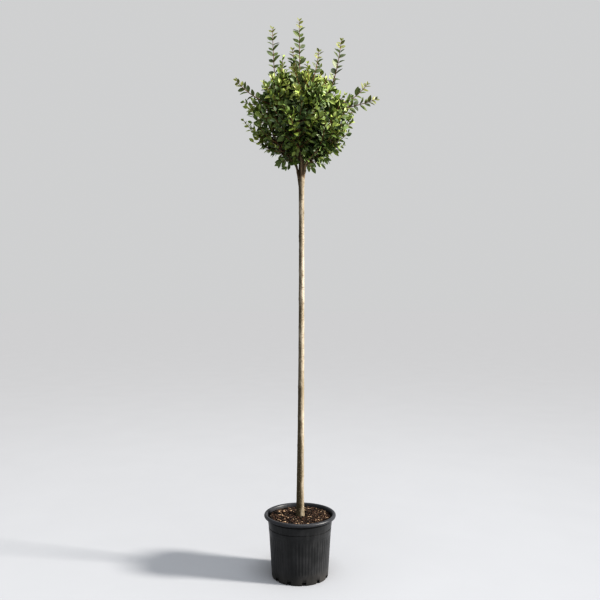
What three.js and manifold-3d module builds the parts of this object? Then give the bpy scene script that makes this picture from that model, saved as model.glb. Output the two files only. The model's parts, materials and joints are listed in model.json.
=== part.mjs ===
// A privet grown as a standard: a round, leafy head on a clear stem, in a black nursery pot of compost.
// Units are millimetres and +Z is up. The origin is the centre of the pot's flat underside, and the
// front of the plant faces -Y.
import * as THREE from 'three';
import { mergeVertices } from 'three/addons/utils/BufferGeometryUtils.js';
import Module from 'manifold-3d';

const wasm = await Module();
wasm.setup();

// Driving dimensions

const CLEARANCE = 0.3; // gap that separate pieces keep where they meet
const SEED = 15; // start of the random numbers that vary the foliage
const GRID = 1 / 256; // corners of joined solids lie on a grid this fine
const WELD = 1e-4; // corners nearer to each other than this are one corner

const POT = {
  rimDiameter: 290,
  neckDiameter: 257, // of the body, just under the rim
  baseDiameter: 227,
  height: 250,
  wall: 2.6,
  floor: 6.5,
  lipDepth: 14, // of the rolled rim, from its crest to its lower edge
  lipRound: 5, // size of the rounding over the rim's edges
  bandTop: 198, // the smooth band under the rim ends here
  fluteTop: 181, // the fluted wall runs from here
  fluteFoot: 39, // down to here
  fluteRecess: 1.2, // how far the fluted wall stands back from the smooth bands
  slope: 3, // height of the slopes at the foot and at both ends of the fluted wall
  bandSlope: 2, // the same between the two smooth bands
  bossRadius: 58, // of the flat disc in the middle of the underside
  footRingWidth: 19,
  channelDepth: 3.5, // of the drainage channel between the disc and the foot ring
  drains: 12,
  drainWidth: 13,
  drainHeight: 10,
  drainTurn: -82, // degrees from +X to the drain nearest the front
  segments: 32,
};

const SOIL = {
  edgeLevel: 236,
  crownLevel: 241,
  seatRadius: 24, // of the level place that the stem stands on
  mounded: 95, // radius of the mound round it
  moundFoot: 0.45, // share of the rise from the edge to the crown that the mound starts at
  play: 0.3, // more clearance, since the facets of pot and compost don't line up
  segments: 30,
};

// The stem's height above the compost, its diameter there and how far it sways to the right.
const TRUNK = {
  stations: [
    { height: 0, diameter: 38, sway: 1 },
    { height: 12, diameter: 34, sway: 1 },
    { height: 55, diameter: 30.6, sway: 1 },
    { height: 343, diameter: 26, sway: 3.5 },
    { height: 773, diameter: 22.6, sway: 6 },
    { height: 1193, diameter: 21.4, sway: 6.5 },
    { height: 1328, diameter: 22.6, sway: 5.7 },
    { height: 1357, diameter: 28, sway: 5.3 }, // the knuckle where the head was first cut back
    { height: 1385, diameter: 19.5, sway: 5.1 },
    { height: 1425, diameter: 12.5, sway: 5 },
  ],
  sides: 12,
};

// The head is a blunt egg, fullest below the middle. Long shoots stand out of it.
const CROWN = { bottom: 1634, top: 2082, radius: 229, fullness: 0.9, bluntness: 0.8 };

// The boughs leave the stem in two tiers. Directions are in degrees from +X, seen from above.
const TIERS = [
  {
    name: 'upper',
    foot: 1608, // where the first bough leaves the stem
    stagger: 1.5, // how much higher each of the next ones leaves it
    diameter: 7.2, // of a bough at its foot
    way: 0.8, // share of the way to the middle of its foliage that a bough goes
    centre: { reach: 106, height: 1934 }, // of the foliage that each bough carries
    directions: { right: 2, back_right: 74, back_left: 146, front_left: 218, front_right: 290 },
  },
  {
    name: 'lower',
    foot: 1586,
    stagger: 5.5,
    diameter: 9.5,
    way: 0.56,
    centre: { reach: 128, height: 1784 },
    directions: { left: 212, right: 32, back: 92, front_right: 328, back_left: 152, front: 268 },
  },
];
const LEADER = { diameter: 11.5, way: 0.78, centre: { x: 2, y: 4, z: 1936 } };

const BOUGH = {
  tipDiameter: 6.4,
  bow: 0.57, // how much of its way a bough climbs before it has spread by half
  room: 1.2, // kept free all round a bough
  sides: 6,
  steps: 4,
};

// Tips of the long shoots that break the outline, all the way round the head.
const LONG_SHOOT_TIPS = [
  [-114, 46, 2238],
  [-3, 0, 2258],
  [-30, 26, 2146],
  [74, -88, 2108],
  [167, -14, 2176],
  [-252, -72, 1980],
  [274, 16, 1992],
  [300, -62, 1908],
  [-24, -226, 1982],
  [-92, 262, 1986],
  [104, 264, 1958],
  [28, 172, 2096],
];

const STEM = { diameter: 6, tipDiameter: 4.4, sides: 5, steps: 3, overrun: 0.42 };
const TWIG = {
  count: 74,
  diameter: 5.2,
  tipDiameter: 4.2,
  sides: 3,
  climb: 0.6, // how steeply a twig rises from its stem to its end
  bow: 0.64, // share of its spread that it has reached at its bend
  sag: 0.22, // share of its rise that it has reached there
  inset: 0.66, // share of its last leaves' length by which it stops short of the outline
  places: 40, // steps along a stem, where a twig may start
  bareSteps: [5, 3], // those at the foot and at the tip where none does
};
const LEAF = {
  length: 52,
  width: 31,
  thickness: 2.2,
  widest: 0.54, // share of its length at which a leaf is widest
  arch: 2.4, // height of a leaf's middle over its root
  curl: 3.5, // how far the tip bends down
  sunk: 0.7, // how far its root goes past the twig's centre line
  offset: 0.6, // the two of a pair stand this far above and below their node
  spread: 56, // degrees between a leaf and its twig
  tipSpread: 34, // the same for the last pair
  leastSpread: 0.8, // share of that angle which every leaf has
  moreSpread: 0.4, // and the share by which it may be more
  twist: 0.6, // radians by which a pair may be turned from crosswise
  turns: [0, 0.6, -0.6, 1.2], // more of that, tried until both leaves of a pair have room
  variety: 0.26, // by which leaves differ in size
  tipNode: 6, // length of a twig's last joint
  bareFoot: 0.15, // share of a twig that has no leaves
  growing: 3, // pairs at a tip that aren't full-grown
  leastSeen: 0.4, // share of a leaf that has to stand clear of the core
};
// Pairs of leaves on a twig and on a long shoot, the space between them, the size of the leaves and of
// the last pair, and the place on the stem, as a share, that the twig's end is drawn in towards.
const TWIG_LEAVES = { pairs: 2, internode: 26, size: 1, last: 0.9, from: 0.5 };
const SHOOT_LEAVES = { pairs: 6, internode: 36, size: 0.7, last: 0.4, from: 0.8 };
const LEAF_CORNERS = [
  [-1, 0, 0], // root
  [1, 0, 0], // tip
  [0, 1, 0], // left side
  [0, -1, 0], // right side
  [0, 0, 1], // ridge
];
const LEAF_FACES = [
  [0, 3, 4],
  [3, 1, 4],
  [1, 2, 4],
  [2, 0, 4],
  [0, 2, 3],
  [2, 1, 3],
];
const CORE = {
  share: 0.74, // of the head's half-width
  bottom: 1656,
  top: 2046,
  roughness: 0.36,
  rings: 8,
  segments: 16,
  // The hollow that the boughs run in, as radii and heights.
  hollow: [
    [0, 1560],
    [50, 1640],
    [86, 1702],
    [76, 1800],
    [22, 1868],
    [0, 1872],
  ],
};
const CELL_MARGIN = 0.8; // each mass stops this far short of the border with the next
const CELL_BLOCK = 6 * CROWN.radius; // size of the blocks that a mass's space is cut from

const FINISHES = {
  pot: { color: 0x2b2b2c, roughness: 0.55, metalness: 0 },
  compost: { color: 0x45342a, roughness: 0.95, metalness: 0 },
  bark: { color: 0x9a8a70, roughness: 0.85, metalness: 0 },
  foliage: { color: 0x3f5a22, roughness: 0.5, metalness: 0 },
};

// Solids

// A closed three.js geometry as a solid that can be joined and cut.
function solidOf(geometry) {
  const bare = geometry.index ? geometry.toNonIndexed() : geometry.clone();
  bare.deleteAttribute('normal');
  bare.deleteAttribute('uv');
  const merged = mergeVertices(bare, WELD);
  const vertProperties = merged.attributes.position.array;
  const triVerts = new Uint32Array(merged.index.array);
  return new wasm.Manifold(new wasm.Mesh({ numProp: 3, vertProperties, triVerts }));
}

// The largest body of a solid: sealed hollows are filled and loose scraps dropped.
function largestBody(solid) {
  return solid.decompose().reduce((a, b) => (b.volume() > a.volume() ? b : a));
}

// A solid's surface, with its corners rounded to a fine grid and the slivers that this closes left out.
function surfaceOf(solid) {
  const { vertProperties, triVerts } = largestBody(solid).getMesh();
  const rounded = vertProperties.map((value) => Math.round(value / GRID) * GRID);
  const geometry = new THREE.BufferGeometry();
  geometry.setAttribute('position', new THREE.BufferAttribute(rounded, 3));
  geometry.setIndex(new THREE.BufferAttribute(triVerts, 1));
  const merged = mergeVertices(geometry, GRID / 8);
  const corners = merged.index.array;
  const kept = [];
  for (let i = 0; i < corners.length; i += 3) {
    const [a, b, c] = corners.slice(i, i + 3);
    if (a !== b && b !== c && c !== a) kept.push(a, b, c);
  }
  return merged.setIndex(kept);
}

// A solid as a clean three.js geometry.
function geometryOf(solid) {
  const geometry = surfaceOf(solidOf(surfaceOf(solid)));
  geometry.computeVertexNormals();
  return geometry;
}

function joined(solids) {
  return solids.reduce((sum, solid) => sum.add(solid));
}

function named(name, geometry, finish) {
  const mesh = new THREE.Mesh(geometry, new THREE.MeshStandardMaterial(FINISHES[finish]));
  mesh.name = name;
  return mesh;
}

// A profile of [radius, height] points turned about the Z axis.
function turned(profile, segments) {
  const points = profile.map(([radius, height]) => new THREE.Vector2(radius, height));
  return new THREE.LatheGeometry(points, segments).rotateX(Math.PI / 2);
}

// A tapering limb along a curve: a cylinder whose rings are moved to the stations, each a share of
// the curve and a radius.
function limbGeometry(curve, stations, sides) {
  const geometry = new THREE.CylinderGeometry(1, 1, 1, sides, stations.length - 1);
  const side = sideways(curve.getPoint(1).sub(curve.getPoint(0)));
  const frames = stations.map(({ share }) => frameAt(curve.getPoint(share), curve.getTangent(share), side));
  const position = geometry.attributes.position;
  const vertex = new THREE.Vector3();
  for (let i = 0; i < position.count; i++) {
    const ring = Math.round((position.getY(i) + 0.5) * (stations.length - 1));
    const radius = stations[ring].radius;
    vertex.set(position.getX(i) * radius, 0, position.getZ(i) * radius).applyMatrix4(frames[ring]);
    position.setXYZ(i, vertex.x, vertex.y, vertex.z);
  }
  return geometry;
}

// The main axis that lies most squarely across a direction.
function sideways(direction) {
  const parts = direction.toArray().map(Math.abs);
  return new THREE.Vector3().setComponent(parts.indexOf(Math.min(...parts)), 1);
}

// A frame at a point whose Y axis runs along the tangent and whose Z axis is nearest to the side.
function frameAt(point, tangent, side) {
  const across = new THREE.Vector3().crossVectors(tangent, side).normalize();
  const upright = new THREE.Vector3().crossVectors(across, tangent);
  return new THREE.Matrix4().makeBasis(across, tangent, upright).setPosition(point);
}

// Stations at even shares of a curve, tapering from one diameter to another.
function evenTaper(steps, footDiameter, tipDiameter) {
  return Array.from({ length: steps + 1 }, (_, i) => ({
    share: i / steps,
    radius: THREE.MathUtils.lerp(footDiameter, tipDiameter, i / steps) / 2,
  }));
}

// A source of repeatable random numbers from 0 to 1.
function randomSource(seed) {
  let state = seed;
  return () => {
    state = (state + 0x6d2b79f5) | 0;
    let mixed = Math.imul(state ^ (state >>> 15), 1 | state);
    mixed = (mixed + Math.imul(mixed ^ (mixed >>> 7), 61 | mixed)) ^ mixed;
    return ((mixed ^ (mixed >>> 14)) >>> 0) / 4294967296;
  };
}

function polar(radius, degrees, height) {
  const angle = THREE.MathUtils.degToRad(degrees);
  return new THREE.Vector3(radius * Math.cos(angle), radius * Math.sin(angle), height);
}

// Pot and compost

// Outer radius of the pot's tapering wall at a height.
function potRadius(height) {
  const share = height / (POT.height - POT.lipDepth);
  return THREE.MathUtils.lerp(POT.baseDiameter, POT.neckDiameter, share) / 2;
}

function potGeometry() {
  const { height, wall, floor, lipDepth, lipRound, channelDepth, fluteRecess, slope, bandSlope } = POT;
  const rim = POT.rimDiameter / 2;
  const base = POT.baseDiameter / 2;
  const lipFoot = height - lipDepth;
  const channel = [POT.bossRadius, base - POT.footRingWidth];
  const outside = [
    [0, 0],
    [channel[0], 0],
    [channel[0] + channelDepth, channelDepth],
    [channel[1] - channelDepth, channelDepth],
    [channel[1], 0],
    [base - slope, 0],
    [potRadius(slope), slope],
    [potRadius(POT.fluteFoot - slope), POT.fluteFoot - slope],
    [potRadius(POT.fluteFoot) - fluteRecess, POT.fluteFoot],
    [potRadius(POT.fluteTop) - fluteRecess, POT.fluteTop],
    [potRadius(POT.fluteTop + slope), POT.fluteTop + slope],
    [potRadius(POT.bandTop), POT.bandTop],
    [potRadius(POT.bandTop + bandSlope) + fluteRecess, POT.bandTop + bandSlope],
    [potRadius(lipFoot) + fluteRecess, lipFoot],
  ];
  const rolledRim = [
    [rim - lipRound / 2, lipFoot],
    [rim, lipFoot + lipRound / 2],
    [rim, height - lipRound],
    [rim - lipRound / 3, height - lipRound / 3],
    [rim - lipRound, height],
    [rim - 2 * lipRound, height],
    [rim - 2.6 * lipRound, height - lipRound / 2],
  ];
  const inside = [
    [potRadius(lipFoot) - wall, lipFoot - lipRound],
    [potRadius(floor) - wall, floor],
    [0, floor],
  ];
  const shell = solidOf(turned([...outside, ...rolledRim, ...inside], POT.segments));
  const drains = Array.from({ length: POT.drains }, (_, i) => {
    const turn = POT.drainTurn + (360 / POT.drains) * i;
    const box = new THREE.BoxGeometry(POT.footRingWidth, POT.drainWidth, 2 * POT.drainHeight);
    box.translate(base, 0, 0).rotateZ(THREE.MathUtils.degToRad(turn));
    return solidOf(box);
  });
  return geometryOf(drains.reduce((body, drain) => body.subtract(drain), shell));
}

function soilGeometry() {
  const inset = POT.wall + CLEARANCE + SOIL.play;
  const floor = POT.floor + CLEARANCE;
  return turned(
    [
      [0, floor],
      [potRadius(floor) - inset, floor],
      [potRadius(SOIL.edgeLevel) - inset, SOIL.edgeLevel],
      [SOIL.mounded, THREE.MathUtils.lerp(SOIL.edgeLevel, SOIL.crownLevel, SOIL.moundFoot)],
      [SOIL.seatRadius, SOIL.crownLevel],
      [0, SOIL.crownLevel],
    ],
    SOIL.segments,
  );
}

// Stem and boughs

function trunkPoint(station) {
  return new THREE.Vector3(station.sway, 0, SOIL.crownLevel + CLEARANCE + station.height);
}

// The trunk, with extra girth all over where it is used to cut its neighbours clear.
function trunkGeometry(extra = 0) {
  const path = new THREE.CurvePath();
  const { stations } = TRUNK;
  for (let i = 1; i < stations.length; i++) {
    path.add(new THREE.LineCurve3(trunkPoint(stations[i - 1]), trunkPoint(stations[i])));
  }
  const lengths = [0, ...path.getCurveLengths()];
  const rings = stations.map(({ diameter }, i) => ({
    share: lengths[i] / lengths[lengths.length - 1],
    radius: diameter / 2 + extra,
  }));
  return limbGeometry(path, rings, TRUNK.sides);
}

const trunkTip = trunkPoint(TRUNK.stations[TRUNK.stations.length - 1]);

// Every mass of foliage: the middle of its space, and the bough that carries it.
function masses() {
  const leaderCentre = new THREE.Vector3(LEADER.centre.x, LEADER.centre.y, LEADER.centre.z);
  const leaderFoot = trunkTip.clone().setZ(trunkTip.z + CLEARANCE);
  const list = [{ ...LEADER, name: 'leader', centre: leaderCentre, foot: leaderFoot }];
  for (const tier of TIERS) {
    Object.entries(tier.directions).forEach(([side, degrees], i) => {
      const centre = polar(tier.centre.reach, degrees, tier.centre.height);
      const foot = new THREE.Vector3(trunkTip.x, 0, tier.foot + tier.stagger * i);
      list.push({ ...tier, name: `${tier.name}_${side}`, centre, foot });
    });
  }
  return list.map((mass) => ({ ...mass, bough: boughCurve(mass) }));
}

// A bough climbs beside the stem before it spreads towards its foliage.
function boughCurve({ foot, centre, way }) {
  const tip = foot.clone().lerp(centre, way);
  const bend = foot.clone().lerp(tip, (1 - BOUGH.bow) / 2);
  bend.z = THREE.MathUtils.lerp(foot.z, tip.z, BOUGH.bow);
  return new THREE.QuadraticBezierCurve3(foot, bend, tip);
}

function boughSolid({ bough, diameter }) {
  return solidOf(limbGeometry(bough, evenTaper(BOUGH.steps, diameter, BOUGH.tipDiameter), BOUGH.sides));
}

// The room that a bough needs where it runs through foliage, a little longer than the bough.
function boughRoom({ bough, diameter }) {
  const end = bough.v2.clone().addScaledVector(bough.getTangent(1), BOUGH.room);
  const curve = new THREE.QuadraticBezierCurve3(bough.v0, bough.v1, end);
  const stations = evenTaper(BOUGH.steps, diameter + 2 * BOUGH.room, BOUGH.tipDiameter + 2 * BOUGH.room);
  return solidOf(limbGeometry(curve, stations, BOUGH.sides));
}

// Foliage

// Half-width of the head at a share of its depth.
function crownRadius(share) {
  return CROWN.radius * Math.sin(Math.PI * share ** CROWN.fullness) ** CROWN.bluntness;
}

// Points spread evenly over the head's outline, one for the end of each twig.
function crownTargets(count) {
  const goldenTurn = 180 * (3 - Math.sqrt(5));
  return Array.from({ length: count }, (_, i) => {
    const share = (i + 0.5) / count;
    const height = THREE.MathUtils.lerp(CROWN.bottom, CROWN.top, share);
    return polar(crownRadius(share), goldenTurn * i, height);
  });
}

function nearest(list, point) {
  return list.reduce((a, b) => (b.centre.distanceTo(point) < a.centre.distanceTo(point) ? b : a));
}

// True where every point is nearer to this mass's centre than to any other's, with a margin. Such a
// space has flat sides and no hollows, so what joins its points is inside too.
function inOwnSpace(points, mass, all) {
  return all.every((other) => {
    if (other === mass) return true;
    const away = other.centre.clone().sub(mass.centre);
    const border = away.length() / 2 - CELL_MARGIN;
    away.normalize();
    return points.every((point) => point.clone().sub(mass.centre).dot(away) < border);
  });
}

// The corners of a geometry, as points.
function cornersOf(geometry) {
  const { array, count } = geometry.attributes.position;
  return Array.from({ length: count }, (_, i) => new THREE.Vector3().fromArray(array, 3 * i));
}

// A leaf: a thin, arched blade with a root, two sides, a tip and a low ridge along its back.
function leafGeometry(root, along, face, scale) {
  const length = LEAF.length * scale;
  const across = new THREE.Vector3().crossVectors(face, along).normalize();
  const upright = new THREE.Vector3().crossVectors(along, across);
  const geometry = new THREE.PolyhedronGeometry(LEAF_CORNERS.flat(), LEAF_FACES.flat(), 1, 0);
  const position = geometry.attributes.position;
  for (let i = 0; i < position.count; i++) {
    const [end, side, ridge] = [position.getX(i), position.getY(i), position.getZ(i)].map(Math.round);
    const reach = end ? Math.max(end * length, -LEAF.sunk) : LEAF.widest * length;
    const lift = end > 0 ? -LEAF.curl : Math.abs(side) * LEAF.arch + ridge * (LEAF.arch + LEAF.thickness);
    const point = root
      .clone()
      .addScaledVector(along, reach)
      .addScaledVector(across, (side * LEAF.width * scale) / 2)
      .addScaledVector(upright, lift * scale);
    position.setXYZ(i, point.x, point.y, point.z);
  }
  return geometry;
}

// The stem of a mass: it grows on from its bough's tip through the middle of the mass.
function stemCurve({ bough, centre }) {
  const start = bough.getPoint(1).addScaledVector(bough.getTangent(1), CLEARANCE);
  const bend = start.clone().addScaledVector(bough.getTangent(1), start.distanceTo(centre) / 2);
  const end = centre.clone().addScaledVector(centre.clone().sub(start), STEM.overrun);
  return new THREE.QuadraticBezierCurve3(start, bend, end);
}

// A twig leaves the stem below its target, spreads, and turns up towards the light.
function twigCurve(stem, target) {
  const [footSteps, tipSteps] = TWIG.bareSteps;
  const places = stem.getPoints(TWIG.places).slice(footSteps, -tipSteps);
  const wanted = (place) => target.z - TWIG.climb * Math.hypot(target.x - place.x, target.y - place.y);
  const gap = (place) => Math.abs(place.z - wanted(place));
  const start = places.reduce((a, b) => (gap(b) < gap(a) ? b : a));
  const bend = start.clone().lerp(target, TWIG.bow);
  bend.z = THREE.MathUtils.lerp(start.z, target.z, TWIG.sag);
  return new THREE.QuadraticBezierCurve3(start, bend, target);
}

// The joints of a twig: a bare foot, then a length for each pair of leaves, the last one short.
function twigJoints(curve, { pairs, internode }) {
  const length = curve.getLength();
  const shares = Array.from({ length: pairs }, (_, i) => 1 - (LEAF.tipNode + i * internode) / length);
  const leafy = shares.filter((share) => share > LEAF.bareFoot).reverse();
  return [0, ...leafy, 1].map((share) => curve.getPointAt(share));
}

// A tapering twig from joint to joint.
function twigGeometry(joints) {
  const path = new THREE.CurvePath();
  joints.slice(1).forEach((joint, i) => path.add(new THREE.LineCurve3(joints[i], joint)));
  const lengths = [0, ...path.getCurveLengths()];
  const stations = lengths.map((length) => {
    const share = length / path.getLength();
    return { share, radius: THREE.MathUtils.lerp(TWIG.diameter, TWIG.tipDiameter, share) / 2 };
  });
  return limbGeometry(path, stations, TWIG.sides);
}

// Where leaves stand on a twig: midway between its joints, with the pairs that are left to the tip.
function nodesOf(joints) {
  const lengths = joints.length - 1;
  const side = sideways(joints[lengths].clone().sub(joints[0]));
  return joints.slice(1, lengths).map((joint, i) => {
    const tangent = joints[i + 2].clone().sub(joint).normalize();
    const frame = frameAt(joint.clone().lerp(joints[i + 2], 0.5), tangent, side);
    return { frame, tangent, fromTip: lengths - 2 - i };
  });
}

// An opposite pair of leaves at a node, set crosswise to the next pair and turned a little more.
function leafPair({ frame, tangent, fromTip }, { size, last }, extraTurn, random) {
  const turn = (fromTip * Math.PI) / 2 + extraTurn + (random() - 0.5) * LEAF.twist;
  const grown = THREE.MathUtils.lerp(last, size, Math.min(1, fromTip / LEAF.growing));
  const scale = grown * (1 + (random() - 0.5) * LEAF.variety);
  return [-1, 1].map((hand) => {
    const angle = THREE.MathUtils.degToRad(fromTip ? LEAF.spread : LEAF.tipSpread);
    const spread = angle * (LEAF.leastSpread + LEAF.moreSpread * random());
    const out = new THREE.Vector3(hand * Math.cos(turn), 0, hand * Math.sin(turn));
    out.transformDirection(frame);
    const along = tangent.clone().multiplyScalar(Math.cos(spread)).addScaledVector(out, Math.sin(spread));
    const root = new THREE.Vector3(0, hand * LEAF.offset, 0).applyMatrix4(frame);
    return leafGeometry(root, along, tangent, scale);
  });
}

// The head's dense inside: a smaller, lumpy egg, hollowed underneath where the bare boughs run.
function headCore() {
  const random = randomSource(SEED);
  const profile = Array.from({ length: CORE.rings + 1 }, (_, i) => {
    const height = THREE.MathUtils.lerp(CORE.bottom, CORE.top, i / CORE.rings);
    return [i % CORE.rings ? crownRadius(i / CORE.rings) * CORE.share : 0, height];
  });
  const egg = turned(profile, CORE.segments);
  egg.deleteAttribute('normal');
  egg.deleteAttribute('uv');
  const lumpy = mergeVertices(egg, WELD);
  const position = lumpy.attributes.position;
  for (let i = 0; i < position.count; i++) {
    const swell = 1 + (random() - 0.5) * CORE.roughness;
    position.setX(i, position.getX(i) * swell);
    position.setY(i, position.getY(i) * swell);
  }
  return solidOf(lumpy).subtract(solidOf(turned(CORE.hollow, CORE.segments)));
}

// A block with one face on the border between a mass and another, on the mass's own side.
function ownSide(mass, other) {
  const away = other.centre.clone().sub(mass.centre);
  const border = away.length() / 2 - CELL_MARGIN;
  const turn = new THREE.Quaternion().setFromUnitVectors(new THREE.Vector3(0, 0, 1), away.normalize());
  const block = new THREE.BoxGeometry(CELL_BLOCK, CELL_BLOCK, CELL_BLOCK);
  block.translate(0, 0, border - CELL_BLOCK / 2);
  return solidOf(block.applyQuaternion(turn).translate(...mass.centre.toArray()));
}

// The ends of a mass's twigs and long shoots, and the leaves that each has.
function shootsOf(mass, all, stem) {
  const own = (place) => nearest(all, place) === mass;
  const short = (place, leaves) => {
    const inset = place.clone().sub(stem.getPoint(leaves.from));
    inset.setLength(LEAF.length * leaves.last * TWIG.inset);
    return { end: place.clone().sub(inset), leaves };
  };
  const tips = LONG_SHOOT_TIPS.map((place) => new THREE.Vector3(...place)).filter(own);
  const targets = crownTargets(TWIG.count).filter(own);
  return [
    ...tips.map((tip) => short(tip, SHOOT_LEAVES)),
    ...targets.map((target) => short(target, TWIG_LEAVES)),
  ];
}

// One mass: its stem, core, twigs and leaves, joined. What would leave its space or touch a limb, and a
// leaf that the core buries or that would touch another twig or another pair's leaf, is left out.
function foliageGeometry(mass, all, limbRooms, head) {
  const random = randomSource(SEED + 101 * all.indexOf(mass));
  const ownSpace = (geometry) => inOwnSpace(cornersOf(geometry), mass, all);
  const apart = (solid, others) => others.every((other) => solid.intersect(other).isEmpty());

  const rest = all.filter((other) => other !== mass);
  const core = rest.reduce((part, other) => part.intersect(ownSide(mass, other)), head);
  const stem = stemCurve(mass);
  const stemRings = evenTaper(STEM.steps, STEM.diameter, STEM.tipDiameter);
  const stemSolid = solidOf(limbGeometry(stem, stemRings, STEM.sides));
  const twigs = [];
  for (const { end, leaves } of shootsOf(mass, all, stem)) {
    const joints = twigJoints(twigCurve(stem, end), leaves);
    const geometry = twigGeometry(joints);
    const solid = solidOf(geometry);
    if (ownSpace(geometry) && apart(solid, limbRooms)) twigs.push({ joints, leaves, solid });
  }
  const foliage = [];
  for (const twig of twigs) {
    const otherWood = [stemSolid, ...twigs.filter((other) => other !== twig).map(({ solid }) => solid)];
    const seen = (leaf) => leaf.subtract(core).volume() > LEAF.leastSeen * leaf.volume();
    const hasRoom = (leaf) => apart(leaf, limbRooms) && apart(leaf, otherWood) && apart(leaf, foliage);
    for (const node of nodesOf(twig.joints)) {
      const choices = LEAF.turns.map((turn) => {
        const pair = leafPair(node, twig.leaves, turn, random).filter(ownSpace).map(solidOf);
        return pair.filter((leaf) => seen(leaf) && hasRoom(leaf));
      });
      foliage.push(...choices.reduce((a, b) => (b.length > a.length ? b : a)));
    }
  }
  return geometryOf(joined([stemSolid, core, ...twigs.map(({ solid }) => solid), ...foliage]));
}

// The whole plant

function standard() {
  const group = new THREE.Group();
  group.add(named('pot', potGeometry(), 'pot'));
  group.add(named('soil', soilGeometry(), 'compost'));
  group.add(named('trunk', trunkGeometry(), 'bark'));

  const all = masses();
  const trunkCut = solidOf(trunkGeometry(CLEARANCE));
  const limbRooms = [...all.map(boughRoom), solidOf(trunkGeometry(BOUGH.room))];
  const head = limbRooms.reduce((rest, room) => rest.subtract(room), headCore());

  for (const mass of all) {
    group.add(named(`bough_${mass.name}`, geometryOf(boughSolid(mass).subtract(trunkCut)), 'bark'));
  }
  for (const mass of all) {
    group.add(named(`foliage_${mass.name}`, foliageGeometry(mass, all, limbRooms, head), 'foliage'));
  }
  return group;
}

export default standard();
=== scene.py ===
"""Looks of a potted standard privet.

The pot, compost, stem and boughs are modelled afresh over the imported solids. The head grows on from the
boughs by the rule of the part's source, carried to finer twigs and to leaves of their real size.
Lengths are in metres, +Z is up and the front of the plant faces -Y.
"""

import json
import logging
import math
import random
from abc import ABC, abstractmethod
from dataclasses import dataclass, field, replace
from enum import Enum
from typing import Callable, Iterator, Mapping, NamedTuple, Sequence, Union

import bmesh
import bpy
import numpy as np
from mathutils import Matrix, Vector, noise

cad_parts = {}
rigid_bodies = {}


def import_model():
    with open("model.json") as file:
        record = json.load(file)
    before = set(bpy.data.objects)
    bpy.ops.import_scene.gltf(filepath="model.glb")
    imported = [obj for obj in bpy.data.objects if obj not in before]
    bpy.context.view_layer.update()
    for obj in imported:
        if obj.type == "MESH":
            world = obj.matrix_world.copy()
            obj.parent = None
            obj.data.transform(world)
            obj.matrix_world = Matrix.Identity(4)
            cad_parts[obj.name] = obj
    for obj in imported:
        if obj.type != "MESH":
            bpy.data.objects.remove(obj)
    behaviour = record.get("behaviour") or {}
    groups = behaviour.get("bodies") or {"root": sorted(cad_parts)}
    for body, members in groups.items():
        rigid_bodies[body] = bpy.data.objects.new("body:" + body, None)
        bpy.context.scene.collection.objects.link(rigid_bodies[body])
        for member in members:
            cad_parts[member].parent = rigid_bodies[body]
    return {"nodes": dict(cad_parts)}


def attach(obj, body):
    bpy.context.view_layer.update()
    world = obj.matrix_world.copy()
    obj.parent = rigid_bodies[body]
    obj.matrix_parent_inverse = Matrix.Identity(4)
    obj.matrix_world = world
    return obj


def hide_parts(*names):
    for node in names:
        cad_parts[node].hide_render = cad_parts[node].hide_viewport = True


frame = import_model()

log = logging.getLogger("privet")

BODY = "root"
UP = Vector((0.0, 0.0, 1.0))
MM = 0.001

Colour = tuple[float, float, float]
Spot = tuple[float, float, float]
Span = tuple[float, float]
Feed = Union["Signal", float, Sequence[float]]
Relief = Callable[[Vector, float, float], float]

BLACK: Colour = (0.0, 0.0, 0.0)
EVEN: Spot = (1.0, 1.0, 1.0)


def srgb(red: int, green: int, blue: int) -> Colour:
    """A colour as linear light, by the standard display curve.

    Args:
        red: Display value from 0 to 255.
        green: The same for green.
        blue: The same for blue.

    Returns:
        The colour.
    """

    def linear(value: int) -> float:
        """One part of the colour as linear light."""
        share = value / 255
        return share / 12.92 if share <= 0.04045 else ((share + 0.055) / 1.055) ** 2.4

    return linear(red), linear(green), linear(blue)


def lerp(low: float, high: float, share: float) -> float:
    """The value a share of the way from low to high."""
    return low + (high - low) * share


def smoothstep(low: float, high: float, value: float) -> float:
    """0 at low, 1 at high, and a smooth rise between."""
    share = min(1.0, max(0.0, (value - low) / (high - low)))
    return share * share * (3 - 2 * share)


def polar(radius: float, angle: float, height: float = 0.0) -> Spot:
    """The point at a distance and a direction from the Z axis, at a height."""
    return radius * math.cos(angle), radius * math.sin(angle), height


# Shading


class Signal:
    """A node's output. Arithmetic on signals adds Math nodes."""

    def __init__(self, sheet: "NodeSheet", socket: bpy.types.NodeSocket) -> None:
        """Wraps one output socket of a sheet."""
        self.sheet = sheet
        self.socket = socket

    def _math(self, operation: str, first: Feed, second: Feed) -> "Signal":
        """Adds one Math node."""
        return self.sheet.add("ShaderNodeMath", {"operation": operation}, {0: first, 1: second})

    def __add__(self, other: Feed) -> "Signal":
        """Sum."""
        return self._math("ADD", self, other)

    def __radd__(self, other: Feed) -> "Signal":
        """Sum, the other way round."""
        return self._math("ADD", other, self)

    def __sub__(self, other: Feed) -> "Signal":
        """Difference."""
        return self._math("SUBTRACT", self, other)

    def __rsub__(self, other: Feed) -> "Signal":
        """Difference, the other way round."""
        return self._math("SUBTRACT", other, self)

    def __mul__(self, other: Feed) -> "Signal":
        """Product."""
        return self._math("MULTIPLY", self, other)

    def __rmul__(self, other: Feed) -> "Signal":
        """Product, the other way round."""
        return self._math("MULTIPLY", other, self)

    def between(self, low: float, high: float) -> "Signal":
        """0 below low, 1 above high, and a smooth rise between.

        Args:
            low: Value that gives 0.
            high: Value that gives 1. It may be below low, which turns the rise round.

        Returns:
            The new signal.
        """
        return self.sheet.add(
            "ShaderNodeMapRange",
            {"interpolation_type": "SMOOTHSTEP"},
            {"Value": self, "From Min": low, "From Max": high},
        )

    def ranging(self, low: float, high: float) -> "Signal":
        """The signal drawn out so that 0 gives low and 1 gives high."""
        return low + self * (high - low)


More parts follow.
